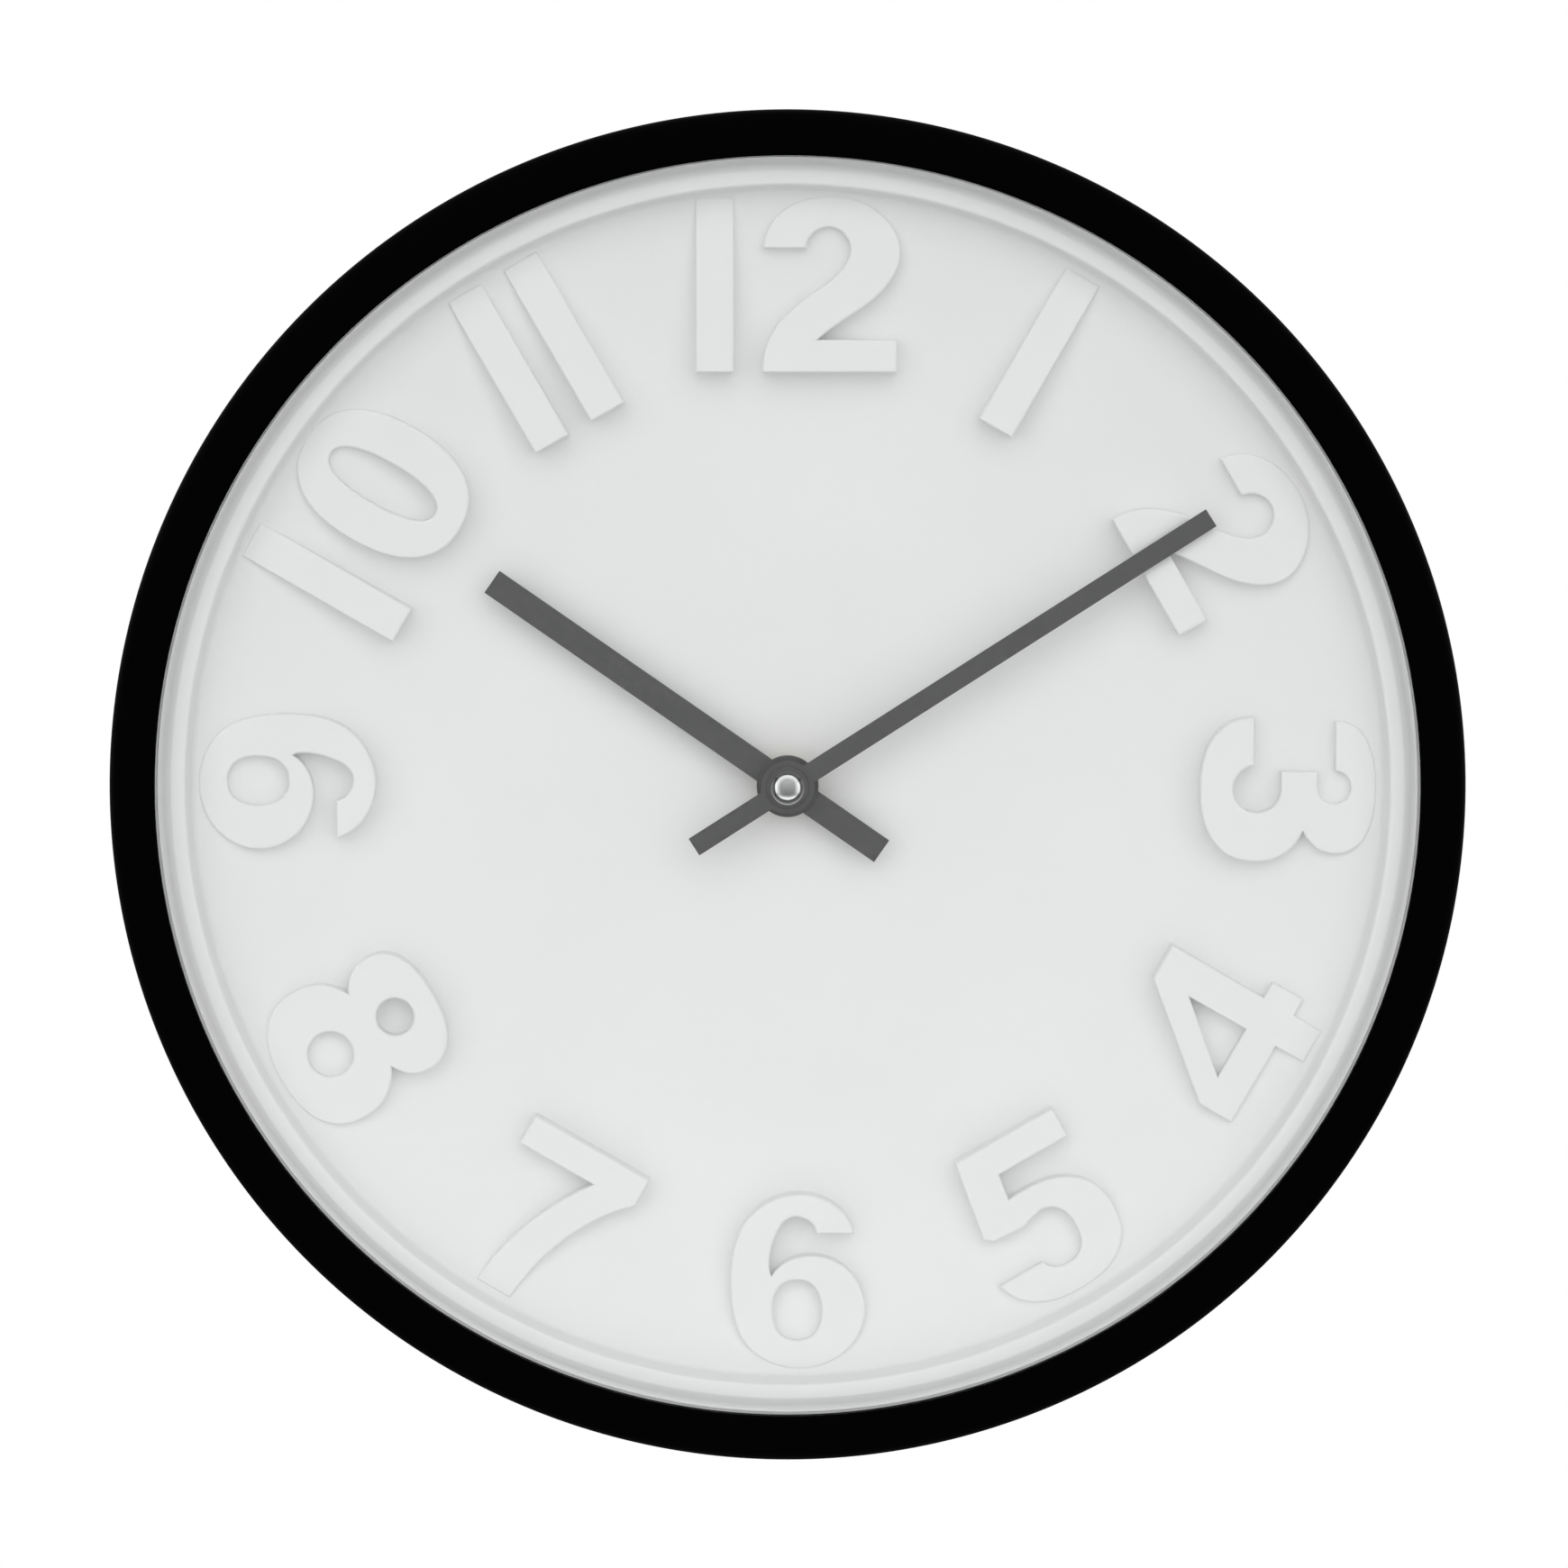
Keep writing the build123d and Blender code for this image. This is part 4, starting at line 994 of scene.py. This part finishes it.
def knobMesh():
    low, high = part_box("set_knob")
    spot = ((low.x + high.x) / 2 - centreX, (low.z + high.z) / 2 - centreZ)
    outline = knobOutline((high.x - low.x) / 2, spot)
    back = backOf("set_knob")
    sheet = roundedSheet("knobSheet", [outline], back, frontOf("set_knob"), knob["edge"])
    outer = knob["ridgeRadius"]
    inner = outer - knob["ridgeWidth"]
    top = back + knob["ridgeRise"]
    bottom = top + knob["ridgeDepth"]
    soft = knob["ridgeRound"]
    ridge = softProfile([(outer, top, soft), (inner, top, soft), (inner, bottom, 0), (outer, bottom, 0)])
    return joinedMesh("knobShape", [sheet, lathed("ridge", ridge, knob["ridgeSides"], spot)])


addPiece("knob_grip", knobMesh(), finishes["knob_black"], "setting", ["set_knob"])
print("knob")


# the coil: turns of enamelled wire on the bobbin
coil = {
    "wire": 0.3 * mm,
    "corner": 0.9 * mm,
    "layers": 2,
    "nesting": 0.87,             # step from layer to layer, as a share of the wire
}


def turnsGroup():
    # one rounded turn of wire, repeated along x
    inputs = {"Start": "Geometry", "Turns": "Int", "Length": "Float", "Height": "Float", "Depth": "Float",
              "Corner": "Float", "Wire": "Float", "Material": "Material"}
    group, source, names = nodeGroup("wireTurns", inputs, "Winding")
    turn = newNode(group, "GeometryNodeCurvePrimitiveQuadrilateral")
    soft = newNode(group, "GeometryNodeFilletCurve")
    if "Mode" in soft.inputs:
        soft.inputs["Mode"].default_value = "Poly"
    else:
        soft.mode = "POLY"
    soft.inputs["Count"].default_value = 4
    upright = newNode(group, "GeometryNodeTransform")
    upright.inputs["Rotation"].default_value = (0, math.pi / 2, 0)
    section = newNode(group, "GeometryNodeCurvePrimitiveCircle")
    section.inputs["Resolution"].default_value = 8
    wire = newNode(group, "GeometryNodeCurveToMesh")
    end = newNode(group, "ShaderNodeCombineXYZ")
    line = newNode(group, "GeometryNodeMeshLine", mode="END_POINTS")
    copies = newNode(group, "GeometryNodeInstanceOnPoints")
    link = group.links.new
    link(source.outputs["Height"], turn.inputs["Width"])
    link(source.outputs["Depth"], turn.inputs["Height"])
    link(turn.outputs["Curve"], soft.inputs["Curve"])
    link(source.outputs["Corner"], soft.inputs["Radius"])
    link(soft.outputs["Curve"], upright.inputs["Geometry"])
    link(upright.outputs["Geometry"], wire.inputs["Curve"])
    link(source.outputs["Wire"], section.inputs["Radius"])
    link(section.outputs["Curve"], wire.inputs["Profile Curve"])
    link(source.outputs["Length"], end.inputs["X"])
    link(end.outputs[0], line.inputs["Offset"])
    link(source.outputs["Turns"], line.inputs["Count"])
    link(line.outputs["Mesh"], copies.inputs["Points"])
    link(wire.outputs["Mesh"], copies.inputs["Instance"])
    finishGroup(group, source, copies)
    return group, names


def windingMesh():
    low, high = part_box("coil_winding")
    size, wire = high - low, coil["wire"]
    group, names = turnsGroup()
    layers = []
    for layer in range(coil["layers"]):
        inward = wire * (coil["nesting"] * layer + 0.5)
        turns = int((size.x - wire) / wire) - layer
        length = wire * (turns - 1)
        mesh = grown("turns", bpy.data.meshes.new("start"), group, {
            names["Turns"]: turns,
            names["Length"]: length,
            names["Height"]: size.z - 2 * inward,
            names["Depth"]: size.y - 2 * inward,
            names["Corner"]: coil["corner"] - inward,
            names["Wire"]: wire / 2,
            names["Material"]: finishes["winding_copper"],
        })
        middle = (low + high) / 2
        mesh.transform(Matrix.Translation((middle.x - length / 2, middle.y, middle.z)))
        layers.append(mesh)
    return joinedMesh("windingShape", layers)


copper = finishes["winding_copper"]
addPiece("coil_turns", windingMesh(), copper, "case", ["coil_winding"])
print("coil winding")


# studio
studio = {
    "distance": 1.6,
    "elevation": 5.3,
    "shownWidth": 0.3463,        # what the frame spans at the clock's front
    "aimLeft": 0.0008,           # the camera's aim, off the clock's centre
    "aimUp": 0.0016,
    "fill": 0.25,                # strength of the light from every side
    "fromAbove": 1.42,           # extra strength overhead
    "fromSides": 1.15,
    "fromFront": 0.4,
    "floorDrop": 0.42,
    "floorReach": 0.5,
    "floorBehind": 0.2,
}


def studioWorld():
    # white to the camera; as a lamp it is a soft tent, brightest overhead and dim below
    world = bpy.data.worlds.new("studio")
    bpy.context.scene.world = world
    world.use_nodes = True
    tree = world.node_tree
    back = tree.nodes["Background"]
    direction = newNode(tree, "ShaderNodeTexCoord").outputs["Generated"]
    split = newNode(tree, "ShaderNodeSeparateXYZ")
    tree.links.new(direction, split.inputs[0])
    above = spreadTo(tree, split.outputs["Z"], 0, studio["fromAbove"], -0.5, 0.9)
    aside = newNode(tree, "ShaderNodeMath", operation="ABSOLUTE")
    tree.links.new(split.outputs["X"], aside.inputs[0])
    sides = spreadTo(tree, aside.outputs[0], 0, studio["fromSides"], 0.5, 1.0)
    front = spreadTo(tree, split.outputs["Y"], studio["fromFront"], 0, -1.0, -0.4)
    total = None
    for part in (above, sides, front):
        join = newNode(tree, "ShaderNodeMath", operation="ADD")
        tree.links.new(part, join.inputs[0])
        if total is None:
            join.inputs[1].default_value = studio["fill"]
        else:
            tree.links.new(total, join.inputs[1])
        total = join.outputs[0]
    path = newNode(tree, "ShaderNodeLightPath")
    choose = newNode(tree, "ShaderNodeMix", data_type="FLOAT")
    tree.links.new(path.outputs["Is Camera Ray"], choose.inputs["Factor"])
    tree.links.new(total, choose.inputs[2])
    choose.inputs[3].default_value = 1.0
    back.inputs["Color"].default_value = (1, 1, 1, 1)
    tree.links.new(choose.outputs[0], back.inputs["Strength"])


def studioFloor():
    mesh = bpy.data.meshes.new("studioFloor")
    size, behind, level = studio["floorReach"], studio["floorBehind"], centreZ - studio["floorDrop"]
    corners = [(-size, -size, level), (size, -size, level), (size, behind, level), (-size, behind, level)]
    mesh.from_pydata(corners, [], [(0, 1, 2, 3)])
    floor = bpy.data.objects.new("studioFloor", mesh)
    bpy.context.scene.collection.objects.link(floor)
    mesh.materials.append(finishOf("floorPale", grey(0.8), rough=(0.6, 0.7), mottle=3, grain=60))


def studioCamera():
    front = frontOf("bezel")
    target = Vector((centreX - studio["aimLeft"], -front, centreZ + studio["aimUp"]))
    lift = math.radians(studio["elevation"])
    place = target + studio["distance"] * Vector((0, -math.cos(lift), math.sin(lift)))
    data = bpy.data.cameras.new("camera")
    data.sensor_width = 36.0
    data.lens = data.sensor_width * studio["distance"] / studio["shownWidth"]
    data.clip_start, data.clip_end = 0.01, 50.0
    camera = bpy.data.objects.new("camera", data)
    bpy.context.scene.collection.objects.link(camera)
    camera.location = place
    camera.rotation_euler = (target - place).to_track_quat("-Z", "Y").to_euler()
    bpy.context.scene.camera = camera


studioWorld()
studioFloor()
studioCamera()
bpy.context.scene.view_settings.view_transform = "Standard"
bpy.context.scene.cycles.transparent_max_bounces = 16
print("studio ready")
